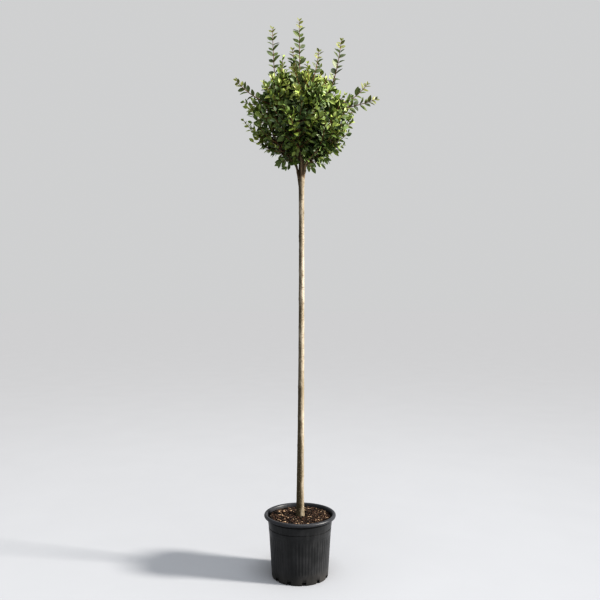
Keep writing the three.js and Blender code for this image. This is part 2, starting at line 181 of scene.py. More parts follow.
@dataclass(frozen=True)
class Grain:
    """A pattern of soft clouds.

    Attributes:
        scale: Clouds in a metre.
        detail: How many finer layers are added.
        rough: How strong those are.
        squeeze: Factors by which the clouds are more along X, Y and Z.
    """

    scale: float
    detail: float
    rough: float = 0.55
    squeeze: Spot = EVEN


class NodeSheet:
    """The node tree of one material, with short ways to add to it."""

    # Places of the colour sockets in a Mix node, where several sockets share a name
    MIX_SHARE, MIX_FIRST, MIX_SECOND, MIX_RESULT = 0, 6, 7, 2

    def __init__(self, name: str) -> None:
        """Starts an empty material.

        Args:
            name: The material's name.
        """
        self.material = bpy.data.materials.new(name)
        self.material.use_nodes = True
        self.tree = self.material.node_tree
        self.tree.nodes.clear()

    def add(
        self,
        kind: str,
        settings: Mapping[str, object] | None = None,
        inputs: Mapping[str | int, Feed] | None = None,
        output: str | int = 0,
    ) -> Signal:
        """Adds a node.

        Args:
            kind: The node's type.
            settings: Its own settings, which are set first.
            inputs: Values or signals for its sockets, by name or place.
            output: The output that is wanted.

        Returns:
            That output as a signal.
        """
        node = self.tree.nodes.new(kind)
        for key, value in (settings or {}).items():
            setattr(node, key, value)
        for key, value in (inputs or {}).items():
            if isinstance(value, Signal):
                self.tree.links.new(value.socket, node.inputs[key])
            else:
                node.inputs[key].default_value = value
        return Signal(self, node.outputs[output])

    def place(self, squeeze: Spot = EVEN) -> Signal:
        """Object coordinates, multiplied along each axis."""
        spot = self.add("ShaderNodeTexCoord", output="Object")
        return self.add("ShaderNodeMapping", {"vector_type": "POINT"}, {"Vector": spot, "Scale": squeeze})

    def along(self, axis: str) -> Signal:
        """The object coordinate along one axis."""
        return self.add("ShaderNodeSeparateXYZ", inputs={0: self.place()}, output=axis)

    def noise(self, grain: Grain) -> Signal:
        """Soft random clouds from about 0.2 to 0.8.

        Args:
            grain: Their pattern.

        Returns:
            The clouds.
        """
        inputs = {
            "Vector": self.place(grain.squeeze),
            "Scale": grain.scale,
            "Detail": grain.detail,
            "Roughness": grain.rough,
        }
        return self.add("ShaderNodeTexNoise", {"noise_dimensions": "3D"}, inputs)

    def cells(self, scale: float) -> Signal:
        """Distance from the nearest of a scatter of points, as many as the scale in a metre."""
        return self.add("ShaderNodeTexVoronoi", {"feature": "F1"}, {"Vector": self.place(), "Scale": scale})

    def attribute(self, name: str) -> Signal:
        """A number that the mesh carries at each vertex."""
        return self.add("ShaderNodeAttribute", {"attribute_name": name}, output="Fac")

    def mix(self, share: Feed, first: Feed, second: Feed) -> Signal:
        """A blend of two colours.

        Args:
            share: 0 for the first, 1 for the second.
            first: A colour.
            second: A colour.

        Returns:
            The blend.
        """

        def full(colour: Feed) -> Feed:
            """A colour with its fourth value, which a socket asks for."""
            return colour if isinstance(colour, Signal) else (*colour, 1.0)

        inputs = {self.MIX_SHARE: share, self.MIX_FIRST: full(first), self.MIX_SECOND: full(second)}
        return self.add("ShaderNodeMix", {"data_type": "RGBA"}, inputs, self.MIX_RESULT)

    def bump(self, height: Feed, distance: float) -> Signal:
        """A normal that follows a height, 1 of which stands for that distance in metres."""
        return self.add("ShaderNodeBump", None, {"Distance": distance, "Height": height})

    def surface(self, inputs: Mapping[str, Feed]) -> bpy.types.Material:
        """Closes the sheet with its one shader.

        Args:
            inputs: Values or signals for the shader's sockets.

        Returns:
            The finished material.
        """
        shader = self.add("ShaderNodeBsdfPrincipled", None, inputs)
        target = self.tree.nodes.new("ShaderNodeOutputMaterial")
        self.tree.links.new(shader.socket, target.inputs["Surface"])
        return self.material


class Finish(ABC):
    """The look of one kind of surface."""

    @property
    @abstractmethod
    def label(self) -> str:
        """Name of its material."""

    @abstractmethod
    def dress(self, sheet: NodeSheet) -> bpy.types.Material:
        """Fills a sheet with the finish's nodes."""

    def material(self) -> bpy.types.Material:
        """The material, made once."""
        return bpy.data.materials.get(self.label) or self.dress(NodeSheet(self.label))


@dataclass(frozen=True)
class PotPlastic(Finish):
    """Black moulded plastic: satin, slightly chalky, dusty towards its foot, rubbed and lighter on its lip
    with a painted sheen of the sky, and with painted shade in the groove under the lip.
    """

    lip_foot: float
    seam: float
    label: str = "pot_plastic"
    black: Colour = srgb(34, 35, 36)
    chalky: Colour = srgb(47, 48, 50)
    dust: Colour = srgb(96, 90, 82)
    # lighter bluish lip: rubbed plastic with a painted sheen of the sky on the roll
    rubbed_lip_and_painted_sheen: Colour = srgb(66, 68, 74)
    dust_top: float = 0.06
    cloud: Grain = Grain(16, 4)
    streak: Grain = Grain(70, 3, squeeze=(1.0, 1.0, 0.16))
    pores: Grain = Grain(1500, 1)
    wear_blend: Span = (0.6, 0.4)  # shares of cloud and streak in the wear
    worn: Span = (0.38, 0.66)
    lip_edge: Span = (-0.5 * MM, 2.5 * MM)
    lip_rub_and_sheen: Span = (0.15, 0.75)
    # painted shade in the groove under the lip
    painted_seam_shade_edge: Span = (-0.6 * MM, 0.6 * MM)
    painted_seam_shade_depth: float = 0.85
    foot_dust: float = 0.3
    worn_dust: float = 0.03
    roughness: float = 0.34
    worn_roughness: float = 0.08
    foot_roughness: float = 0.2
    specular: float = 0.34
    relief: float = 0.12 * MM

    def dress(self, sheet: NodeSheet) -> bpy.types.Material:
        """Fills a sheet with the nodes of the plastic.

        Args:
            sheet: The empty sheet.

        Returns:
            The finished material.
        """
        cloud, streak, pores = (sheet.noise(grain) for grain in (self.cloud, self.streak, self.pores))
        height = sheet.along("Z")
        low = height.between(self.dust_top, 0.0)
        lip = height.between(*(self.lip_foot + edge for edge in self.lip_edge))
        seam = height.between(*(self.seam + edge for edge in self.painted_seam_shade_edge)) * (1.0 - lip)
        by_cloud, by_streak = self.wear_blend
        wear = (cloud * by_cloud + streak * by_streak).between(*self.worn)
        dusty = low * cloud * self.foot_dust + wear * self.worn_dust
        body = sheet.mix(wear, self.black, self.chalky)
        # Painted sheen: the lip is lighter and bluish, partly rubbed plastic and partly the sky's reflection
        # on the roll
        body = sheet.mix(lip * cloud.ranging(*self.lip_rub_and_sheen), body, self.rubbed_lip_and_painted_sheen)
        # Painted shade: black in the groove under the lip, where the lip's shadow falls
        body = sheet.mix(seam * self.painted_seam_shade_depth, body, BLACK)
        return sheet.surface(
            {
                "Base Color": sheet.mix(dusty, body, self.dust),
                "Roughness": self.roughness + wear * self.worn_roughness + low * self.foot_roughness,
                "Specular IOR Level": self.specular,
                "Normal": sheet.bump(pores + cloud, self.relief),
            }
        )


@dataclass(frozen=True)
class Compost(Finish):
    """Dark, moist compost between the bark chips."""

    label: str = "compost_crumb"
    dark: Colour = srgb(16, 11, 8)
    light: Colour = srgb(50, 36, 27)
    crumbs: float = 190.0
    cloud: Grain = Grain(120, 5, 0.65)
    lit: Span = (0.36, 0.68)
    roughness: Span = (0.86, 0.98)
    specular: float = 0.3
    relief: float = 3 * MM

    def dress(self, sheet: NodeSheet) -> bpy.types.Material:
        """Fills a sheet with the nodes of the compost.

        Args:
            sheet: The empty sheet.

        Returns:
            The finished material.
        """
        crumb, cloud = sheet.cells(self.crumbs), sheet.noise(self.cloud)
        return sheet.surface(
            {
                "Base Color": sheet.mix(cloud.between(*self.lit), self.dark, self.light),
                "Roughness": cloud.ranging(*self.roughness),
                "Specular IOR Level": self.specular,
                "Normal": sheet.bump(crumb + cloud, self.relief),
            }
        )


class Chip(Enum):
    """Shades of the bark chips on the compost."""

    DARK = srgb(36, 27, 21)
    BROWN = srgb(79, 58, 45)
    TAN = srgb(178, 154, 128)


@dataclass(frozen=True)
class ChipBark(Finish):
    """A bark chip of one shade, streaked along its fibres."""

    chip: Chip
    fibre: Grain = Grain(420, 4, 0.62, (1.0, 1.0, 2.2))
    streaked: Span = (0.34, 0.62)
    streak_shade: float = 0.5
    roughness: Span = (0.7, 0.95)
    specular: float = 0.35
    relief: float = 1.2 * MM

    @property
    def label(self) -> str:
        """Name of its material."""
        return f"chip_{self.chip.name.lower()}"

    def dress(self, sheet: NodeSheet) -> bpy.types.Material:
        """Fills a sheet with the nodes of the chip.

        Args:
            sheet: The empty sheet.

        Returns:
            The finished material.
        """
        fibre = sheet.noise(self.fibre)
        dark = tuple(self.streak_shade * part for part in self.chip.value)
        return sheet.surface(
            {
                "Base Color": sheet.mix(fibre.between(*self.streaked), dark, self.chip.value),
                "Roughness": fibre.ranging(*self.roughness),
                "Specular IOR Level": self.specular,
                "Normal": sheet.bump(fibre, self.relief),
            }
        )


@dataclass(frozen=True)
class StemBark(Finish):
    """Smooth grey-tan bark with pale lenticels, a green bloom low down, and painted shade in the same dark
    green on the stem's left, away from the key light.
    """

    label: str = "stem_bark"
    pale: Colour = srgb(178, 169, 154)
    grey: Colour = srgb(142, 131, 112)
    crack: Colour = srgb(80, 70, 56)
    lenticel: Colour = srgb(196, 182, 158)
    # dark green of the bloom low down, also used as painted shade on the left side
    bloom_and_painted_shade: Colour = srgb(74, 66, 48)
    bloom_heights: Span = (0.95, 0.25)
    painted_shade_sides: Span = (0.011, -0.001)
    bloom_and_shade_blend: Span = (0.5, 0.95)  # strength of the bloom low down and of the painted shade on the left
    bloom_and_shade_edge: Span = (0.1, 0.6)
    patch: Grain = Grain(34, 4, squeeze=(1.0, 1.0, 0.34))
    patch_edge: Span = (0.34, 0.66)
    streak: Grain = Grain(240, 3, 0.6, (1.0, 1.0, 0.1))
    streak_edge: Span = (0.5, 0.72)
    streak_depth: float = 0.55
    ring: Grain = Grain(210, 2, squeeze=(0.35, 0.35, 1.0))
    ring_edge: Span = (0.54, 0.66)
    ring_depth: float = 0.5
    dash: Grain = Grain(150, 1, squeeze=(1.0, 1.0, 2.6))
    dash_edge: Span = (0.6, 0.72)
    dash_depth: float = 0.42
    rises: tuple[float, float, float] = (0.8, 0.5, 0.5)  # of streak, ring and dash in the relief
    roughness: Span = (0.62, 0.92)
    specular: float = 0.32
    relief: float = 1.1 * MM

    def dress(self, sheet: NodeSheet) -> bpy.types.Material:
        """Fills a sheet with the nodes of the bark.

        Args:
            sheet: The empty sheet.

        Returns:
            The finished material.
        """
        patch, streak, ring = (sheet.noise(grain) for grain in (self.patch, self.streak, self.ring))
        dash = sheet.noise(self.dash).between(*self.dash_edge)
        low = sheet.along("Z").between(*self.bloom_heights)
        # Painted shade: the left side, away from the key light, darkens towards the bloom's green
        left = sheet.along("X").between(*self.painted_shade_sides)
        by_low, by_painted_shade = self.bloom_and_shade_blend
        growth_and_painted_shade = patch.between(*self.bloom_and_shade_edge) * (low * by_low + left * by_painted_shade)
        bark = sheet.mix(patch.between(*self.patch_edge), self.pale, self.grey)
        bark = sheet.mix(growth_and_painted_shade, bark, self.bloom_and_painted_shade)
        bark = sheet.mix(streak.between(*self.streak_edge) * self.streak_depth, bark, self.crack)
        bark = sheet.mix(ring.between(*self.ring_edge) * self.ring_depth, bark, self.crack)
        by_streak, by_ring, by_dash = self.rises
        return sheet.surface(
            {
                "Base Color": sheet.mix(dash * self.dash_depth, bark, self.lenticel),
                "Roughness": streak.ranging(*self.roughness),
                "Specular IOR Level": self.specular,
                "Normal": sheet.bump(streak * by_streak + ring * by_ring + dash * by_dash, self.relief),
            }
        )


@dataclass(frozen=True)
class TwigBark(Finish):
    """Young bark: tan with a reddish cast."""

    label: str = "twig_bark"
    tan: Colour = srgb(126, 94, 62)
    red: Colour = srgb(82, 54, 37)
    patch: Grain = Grain(60, 3)
    pores: Grain = Grain(700, 2)
    reddened: Span = (0.36, 0.64)
    roughness: Span = (0.55, 0.8)
    specular: float = 0.35
    relief: float = 0.4 * MM

    def dress(self, sheet: NodeSheet) -> bpy.types.Material:
        """Fills a sheet with the nodes of the bark.

        Args:
            sheet: The empty sheet.

        Returns:
            The finished material.
        """
        patch, pores = sheet.noise(self.patch), sheet.noise(self.pores)
        return sheet.surface(
            {
                "Base Color": sheet.mix(patch.between(*self.reddened), self.tan, self.red),
                "Roughness": pores.ranging(*self.roughness),
                "Specular IOR Level": self.specular,
                "Normal": sheet.bump(pores, self.relief),
            }
        )


class Tint(Enum):
    """Greens of the sprays, from the inside of the head to its edge, and those of the long shoots. The deeper
    greens inside the head are painted shade.
    """

    DEEP = srgb(72, 91, 48)
    DARK = srgb(99, 118, 61)
    GREEN = srgb(120, 136, 66)
    FRESH = srgb(134, 146, 72)
    YOUNG = srgb(98, 103, 43)
    SHOOT = srgb(69, 82, 31)


@dataclass(frozen=True)
class LeafGloss(Finish):
    """A glossy leaf of one green, duller or livelier from leaf to leaf, with a paler rib."""

    tint: Tint
    mottle: Grain = Grain(260, 2)
    tone_share: float = 0.7  # of the leaf's own tone in its colour, next to the mottle's
    dull: Colour = (0.46, 0.52, 0.52)
    lively: Colour = (1.6, 1.54, 1.5)
    rib_gain: Colour = (1.5, 1.4, 1.4)
    rib_lift: Colour = (0.03, 0.03, 0.01)
    rib_edge: Span = (0.72, 1.0)
    rib_strength: float = 0.5
    roughness: Span = (0.42, 0.58)
    specular: float = 0.6
    relief: float = 0.6 * MM

    @property
    def label(self) -> str:
        """Name of its material."""
        return f"leaf_{self.tint.name.lower()}"

    def shade(self, gains: Colour, lifts: Colour = BLACK) -> Colour:
        """The leaf's green with each part multiplied and raised."""
        return tuple(gain * part + lift for part, gain, lift in zip(self.tint.value, gains, lifts))

    def dress(self, sheet: NodeSheet) -> bpy.types.Material:
        """Fills a sheet with the nodes of the leaf.

        Args:
            sheet: The empty sheet.

        Returns:
            The finished material.
        """
        tone, rib = sheet.attribute("tone"), sheet.attribute("rib")
        mottle = sheet.noise(self.mottle)
        life = tone * self.tone_share + mottle * (1 - self.tone_share)
        blade = sheet.mix(life, self.shade(self.dull), self.shade(self.lively))
        veined = rib.between(*self.rib_edge) * self.rib_strength
        return sheet.surface(
            {
                "Base Color": sheet.mix(veined, blade, self.shade(self.rib_gain, self.rib_lift)),
                "Roughness": mottle.ranging(*self.roughness),
                "Specular IOR Level": self.specular,
                "Normal": sheet.bump(mottle, self.relief),
            }
        )


@dataclass(frozen=True)
class StudioPaper(Finish):
    """The plain pale floor."""

    label: str = "studio_paper"
    pale: Colour = srgb(171, 173, 177)
    paler: Colour = srgb(174, 176, 180)
    cloud: Grain = Grain(3, 2)
    roughness: float = 0.9
    specular: float = 0.0

    def dress(self, sheet: NodeSheet) -> bpy.types.Material:
        """Fills a sheet with the nodes of the floor.

        Args:
            sheet: The empty sheet.

        Returns:
            The finished material.
        """
        return sheet.surface(
            {
                "Base Color": sheet.mix(sheet.noise(self.cloud), self.pale, self.paler),
                "Roughness": self.roughness,
                "Specular IOR Level": self.specular,
            }
        )


# Meshes


class Assembly(ABC):
    """A part of the picture that models and dresses its own pieces."""

    @abstractmethod
    def build(self) -> list[bpy.types.Object]:
        """Models and dresses the pieces."""


@dataclass(frozen=True)
class Ripple:
    """Noise over a surface: how far it rises, and its waves in a metre along X, Y and Z."""

    rise: float
    waves: Spot

    def at(self, spot: Vector) -> float:
        """The rise or fall at a point."""
        return self.rise * noise.noise(Vector([part * count for part, count in zip(spot, self.waves)]))


def packed_nodes(prefix: str) -> list[str]:
    """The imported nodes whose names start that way."""
    return [name for name in frame["nodes"] if name.startswith(prefix)]


def place_piece(
    name: str,
    mesh: bpy.types.Mesh,
    finish: Finish,
    stands_for: Sequence[str] = (),
) -> bpy.types.Object:
    """Puts a finished mesh into the scene as a piece of the plant.

    Args:
        name: The piece's name.
        mesh: Its mesh, already in its place.
        finish: Its look.
        stands_for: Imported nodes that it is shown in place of.

    Returns:
        The piece.
    """
    piece = bpy.data.objects.new(name, mesh)
    bpy.context.scene.collection.objects.link(piece)
    mesh.materials.append(finish.material())
    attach(piece, BODY)
    if stands_for:
        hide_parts(*stands_for)
    return piece


def mesh_from(shape: bmesh.types.BMesh, name: str, crease: float = math.radians(40)) -> bpy.types.Mesh:
    """Turns a bmesh into a smooth mesh with sharp creases, and frees it.

    Args:
        shape: The bmesh.
        name: Name of the mesh.
        crease: Edges that bend more than this stay sharp.

    Returns:
        The mesh.
    """
    for face in shape.faces:
        face.smooth = True
    for edge in shape.edges:
        edge.smooth = len(edge.link_faces) == 2 and edge.calc_face_angle(0.0) < crease
    mesh = bpy.data.meshes.new(name)
    shape.to_mesh(mesh)
    shape.free()
    return mesh


def mesh_from_arrays(
    name: str,
    points: np.ndarray,
    faces: np.ndarray,
    numbers: Mapping[str, np.ndarray] | None = None,
    smooth: bool = True,
) -> bpy.types.Mesh:
    """A mesh of many small things.

    Args:
        name: Name of the mesh.
        points: Vertices, one row each.
        faces: Vertex places, one row for each face, all with as many corners.
        numbers: Numbers that each vertex carries, by name.
        smooth: True where the faces are shaded as one smooth surface.

    Returns:
        The mesh.
    """
    mesh = bpy.data.meshes.new(name)
    mesh.from_pydata(points.tolist(), [], faces.tolist())
    mesh.polygons.foreach_set("use_smooth", np.full(len(mesh.polygons), smooth))
    for key, values in (numbers or {}).items():
        layer = mesh.attributes.new(key, "FLOAT", "POINT")
        layer.data.foreach_set("value", values.astype(np.float32))
    mesh.update()
    return mesh


def spun(profile: Sequence[Span], steps: int) -> bmesh.types.BMesh:
    """A profile of radius and height turned once about the Z axis.

    Args:
        profile: Points from the axis outwards and back.
        steps: Number of divisions round the axis.

    Returns:
        The closed shape, facing outwards.
    """
    shape = bmesh.new()
    verts = [shape.verts.new((radius, 0.0, height)) for radius, height in profile]
    edges = [shape.edges.new(pair) for pair in zip(verts, verts[1:])]
    bmesh.ops.spin(
        shape,
        geom=[*verts, *edges],
        cent=(0, 0, 0),
        axis=UP,
        angle=math.tau,
        steps=steps,
        use_merge=True,
    )
    bmesh.ops.remove_doubles(shape, verts=shape.verts, dist=1e-6)
    bmesh.ops.dissolve_degenerate(shape, edges=shape.edges, dist=1e-7)
    bmesh.ops.recalc_face_normals(shape, faces=shape.faces)
    return shape


def cut_away(mesh: bpy.types.Mesh, cutter: bpy.types.Mesh) -> bpy.types.Mesh:
    """A mesh with the cutter's space taken out of it.

    Args:
        mesh: The mesh, which is used up.
        cutter: What is cut away, which is used up too.

    Returns:
        The cut mesh.
    """
    collection = bpy.context.scene.collection.objects
    body, tool = (bpy.data.objects.new(part.name, part) for part in (mesh, cutter))
    collection.link(body)
    collection.link(tool)
    boolean = body.modifiers.new("cut", "BOOLEAN")
    boolean.operation, boolean.solver, boolean.object = "DIFFERENCE", "EXACT", tool
    cut = bpy.data.meshes.new_from_object(body.evaluated_get(bpy.context.evaluated_depsgraph_get()))
    for part in (body, tool):
        spent = part.data
        bpy.data.objects.remove(part)
        bpy.data.meshes.remove(spent)
    return cut


def sideways(direction: Vector) -> Vector:
    """The main axis that lies most squarely across a direction.

    Args:
        direction: The direction.

    Returns:
        A unit vector along X, Y or Z.
    """
    parts = [abs(part) for part in direction]
    axis = Vector((0.0, 0.0, 0.0))
    axis[parts.index(min(parts))] = 1.0
    return axis


def cross_frame(tangent: Vector, side: Vector) -> tuple[Vector, Vector]:
    """Two unit vectors across a tangent, the second one nearest to the side."""
    across = tangent.cross(side).normalized()
    return across, across.cross(tangent)


def swung(first: Vector, second: Vector, angle: float) -> Vector:
    """The direction at an angle from the first direction towards the second, which is square to it."""
    return first * math.cos(angle) + second * math.sin(angle)


def rings_along(points: Sequence[Vector]) -> Iterator[tuple[Vector, Vector, Vector]]:
    """Goes along a path.

    Args:
        points: The points of the path.

    Yields:
        Each point, with two unit vectors across the path there.
    """
    side = sideways(points[-1] - points[0])
    for place, centre in enumerate(points):
        before, after = points[max(0, place - 1)], points[min(len(points) - 1, place + 1)]
        across, upright = cross_frame((after - before).normalized(), side)
        yield centre, across, upright


def grow_limb(
    shape: bmesh.types.BMesh,
    points: Sequence[Vector],
    radii: Sequence[float],
    sides: int,
    relief: Relief,
) -> None:
    """Extrudes a limb ring by ring along a path.

    Args:
        shape: The bmesh to grow it in.
        points: Centres of the rings.
        radii: Radius of each ring.
        sides: Vertices in a ring.
        relief: Gives how far the bark stands out at a point, an angle and a distance along the limb.
    """
    edges: list[bmesh.types.BMEdge] = []
    along, before = 0.0, points[0]
    for radius, (centre, across, upright) in zip(radii, rings_along(points)):
        along += (centre - before).length
        before = centre
        if edges:
            grown = bmesh.ops.extrude_edge_only(shape, edges=edges)["geom"]
            ring = [part for part in grown if isinstance(part, bmesh.types.BMVert)]
            fresh = set(ring)
            joins = [part for part in grown if isinstance(part, bmesh.types.BMEdge)]
            edges = [edge for edge in joins if fresh.issuperset(edge.verts)]
        else:
            ring = bmesh.ops.create_circle(shape, cap_ends=True, segments=sides, radius=1.0)["verts"]
            edges = list(dict.fromkeys(edge for vert in ring for edge in vert.link_edges))
        for vert, angle in zip(ring, np.linspace(0.0, math.tau, sides, endpoint=False)):
            out = swung(across, upright, angle)
            vert.co = centre + out * (radius + relief(centre + out * radius, angle, along))
    bmesh.ops.holes_fill(shape, edges=edges, sides=0)


def eased(wanted: np.ndarray, places: Sequence[float], values: Sequence[float]) -> np.ndarray:
    """Values read off a table along a smooth curve that overshoots none of them.

    Args:
        wanted: Where to read it.
        places: The table's places, rising.
        values: The table's values.

    Returns:
        The values there.
    """
    x, y = np.asarray(places), np.asarray(values)
    chords = np.diff(y) / np.diff(x)
    before, after = np.r_[chords[0], chords], np.r_[chords, chords[-1]]
    level = before * after <= 0
    slopes = np.where(level, 0.0, 2 * before * after / np.where(level, 1.0, before + after))
    spot = np.clip(wanted, x[0], x[-1])
    cell = np.clip(np.searchsorted(x, spot, side="right") - 1, 0, len(x) - 2)
    span = x[cell + 1] - x[cell]
    t = (spot - x[cell]) / span
    ends = (1 + 2 * t) * (1 - t) ** 2 * y[cell] + t * t * (3 - 2 * t) * y[cell + 1]
    lean = t * (1 - t) ** 2 * slopes[cell] - t * t * (1 - t) * slopes[cell + 1]
    return ends + span * lean


# Pot and compost


@dataclass
class Pot(Assembly):
    """The round nursery pot: rolled rim, smooth bands, fluted wall, drain notches and flat underside."""

    rim_radius: float = 0.145
    neck_radius: float = 0.1285  # of the body, at the foot of the rim's lip
    base_radius: float = 0.1135
    height: float = 0.25
    wall: float = 0.0026
    floor: float = 0.0065
    inner_levels: Sequence[float] = (0.226, 0.12)  # of the inner wall's points above the floor

    lip_foot: float = 0.2352
    lip_width: float = 0.0074  # half the width of the roll
    lip_turn: Span = (-78.0, 156.0)  # degrees at which its roll starts and ends
    lip_points: int = 14
    lip_tuck: Span = (0.0004, 0.009)  # out of its inner edge, and down from the crest
    seam: float = 0.2278  # the groove under the lip
    shoulder: float = 0.217  # on the upper band, which flares up to the seam
    band_foot: float = 0.198  # of the upper band, with a groove under it
    ring_height: float = 0.181  # foot of the lower band

    flutes: int = 60
    flute_depth: float = 0.0011
    flute_sharpness: float = 0.7
    flute_top: float = 0.173
    flute_foot: float = 0.036
    flute_fades: Span = (0.008, 0.012)  # length over which they fade out at the foot and the top
    skirt: float = 0.008  # first row of points over the foot
    foot_rows: Sequence[float] = (-0.004, 0.0, 0.003, 0.008)  # rows of points from the flutes' foot
    middle_rows: Sequence[float] = (0.08, 0.125)
    top_rows: Sequence[float] = (-0.014, -0.007, -0.002, 0.0)  # and from the flutes' top

    foot_round: Sequence[Span] = ((0.003, 0.0), (0.0012, 0.0006), (0.0, 0.0024))  # inset and height
    boss_radius: float = 0.058
    ring_width: float = 0.019
    channel: float = 0.0035
    drains: int = 12
    drain_width: float = 0.0165
    drain_height: float = 0.013
    drain_round: float = 0.002
    drain_reach: float = 0.002  # middle of a notch's block, out from the base
    drain_turn: float = math.radians(-82)
    steps: int = 480

    def radius_at(self, height: float) -> float:
        """Outer radius of the tapering wall."""
        return lerp(self.base_radius, self.neck_radius, height / self.lip_foot)

    def underside(self) -> list[Span]:
        """Section of the underside: a disc, a drainage channel and a foot ring with a rounded edge.

        Returns:
            Radius and height of its points, from the axis outwards.
        """
        inner = self.base_radius - self.ring_width
        flat = [
            (0.0, 0.0),
            (self.boss_radius, 0.0),
            (self.boss_radius + self.channel, self.channel),
            (inner - self.channel, self.channel),
            (inner, 0.0),
        ]
        return flat + [(self.base_radius - inset, height) for inset, height in self.foot_round]

    def side(self) -> list[Span]:
        """Section of the outer wall, from the foot to the lip.

        Returns:
            Radius and height of its points.
        """
        rows = [self.skirt, *(self.flute_foot + row for row in self.foot_rows), *self.middle_rows]
        rows += [self.flute_top + row for row in self.top_rows]
        # Level, how far the section stands out of the plain taper, and how far above the level
        bands = [
            (self.ring_height, 0.0, -1.2 * MM),
            (self.ring_height, 0.6 * MM, 0.0),
            (self.band_foot, 0.6 * MM, -1.8 * MM),
            (self.band_foot, -1.2 * MM, -1.0 * MM),
            (self.band_foot, -1.2 * MM, 0.8 * MM),
            (self.band_foot, 0.8 * MM, 1.8 * MM),
            (self.shoulder, 1.8 * MM, 0.0),
            (self.seam, 2.16 * MM, -0.6 * MM),
            (self.seam, 0.6 * MM, 0.4 * MM),
            (self.lip_foot, 0.6 * MM, -0.4 * MM),
        ]
        wall = [(self.radius_at(row), row) for row in rows]
        return wall + [(self.radius_at(level) + out, level + up) for level, out, up in bands]

    def rim(self) -> list[Span]:
        """Section of the rolled lip.

        Returns:
            Radius and height of its points, over the crest to the inner edge.
        """
        wide, tall = self.lip_width, (self.height - self.lip_foot) / 2
        roll = [
            (self.rim_radius - wide + wide * math.cos(turn), self.height - tall + tall * math.sin(turn))
            for turn in np.radians(np.linspace(*self.lip_turn, self.lip_points))
        ]
        out, down = self.lip_tuck
        return [*roll, (self.rim_radius - 2 * wide + out, self.height - down)]

    def profile(self) -> list[Span]:
        """The pot's section, from the middle of the underside round to the middle of the inner floor."""
        inside = [(self.radius_at(level) - self.wall, level) for level in (*self.inner_levels, self.floor)]
        return [*self.underside(), *self.side(), *self.rim(), *inside, (0.0, self.floor)]

    def flute(self, shape: bmesh.types.BMesh) -> None:
        """Presses the flutes into the outer wall, fading out at both ends.

        Args:
            shape: The plain pot.
        """
        fade_foot, fade_top = self.flute_fades
        for vert in shape.verts:
            radius = math.hypot(vert.co.x, vert.co.y)
            height = vert.co.z
            if radius < self.radius_at(height) - self.wall / 2:
                continue
            if not self.flute_foot < height < self.flute_top:
                continue
            fade = smoothstep(self.flute_foot, self.flute_foot + fade_foot, height)
            fade *= smoothstep(self.flute_top, self.flute_top - fade_top, height)
            wave = 0.5 - 0.5 * math.cos(self.flutes * math.atan2(vert.co.y, vert.co.x))
            shrink = 1 - self.flute_depth * fade * wave**self.flute_sharpness / radius
            vert.co.x *= shrink
            vert.co.y *= shrink

    def cutter(self) -> bmesh.types.BMesh:
        """The blocks that cut the drain notches.

        Returns:
            The blocks, with round upper edges.
        """
        shape = bmesh.new()
        size = Matrix.Diagonal((self.ring_width, self.drain_width, 2 * self.drain_height, 1.0))
        away = Matrix.Translation((self.base_radius + self.drain_reach, 0.0, 0.0))
        for place in range(self.drains):
            turn = Matrix.Rotation(self.drain_turn + math.tau * place / self.drains, 4, "Z")
            block = bmesh.ops.create_cube(shape, size=1.0, matrix=turn @ away @ size)
            edges = dict.fromkeys(edge for vert in block["verts"] for edge in vert.link_edges)
            bmesh.ops.bevel(
                shape,
                geom=[edge for edge in edges if all(vert.co.z > 0 for vert in edge.verts)],
                offset=self.drain_round,
                offset_type="OFFSET",
                affect="EDGES",
                segments=2,
                profile=0.5,
                material=-1,
            )
        return shape

    def build(self) -> list[bpy.types.Object]:
        """Models and dresses the pot.

        Returns:
            The piece.
        """
        shape = spun(self.profile(), self.steps)
        self.flute(shape)
        mesh = cut_away(mesh_from(shape, "pot_shell"), mesh_from(self.cutter(), "drain_blocks"))
        return [place_piece("pot_shell", mesh, PotPlastic(self.lip_foot, self.seam), ["pot"])]


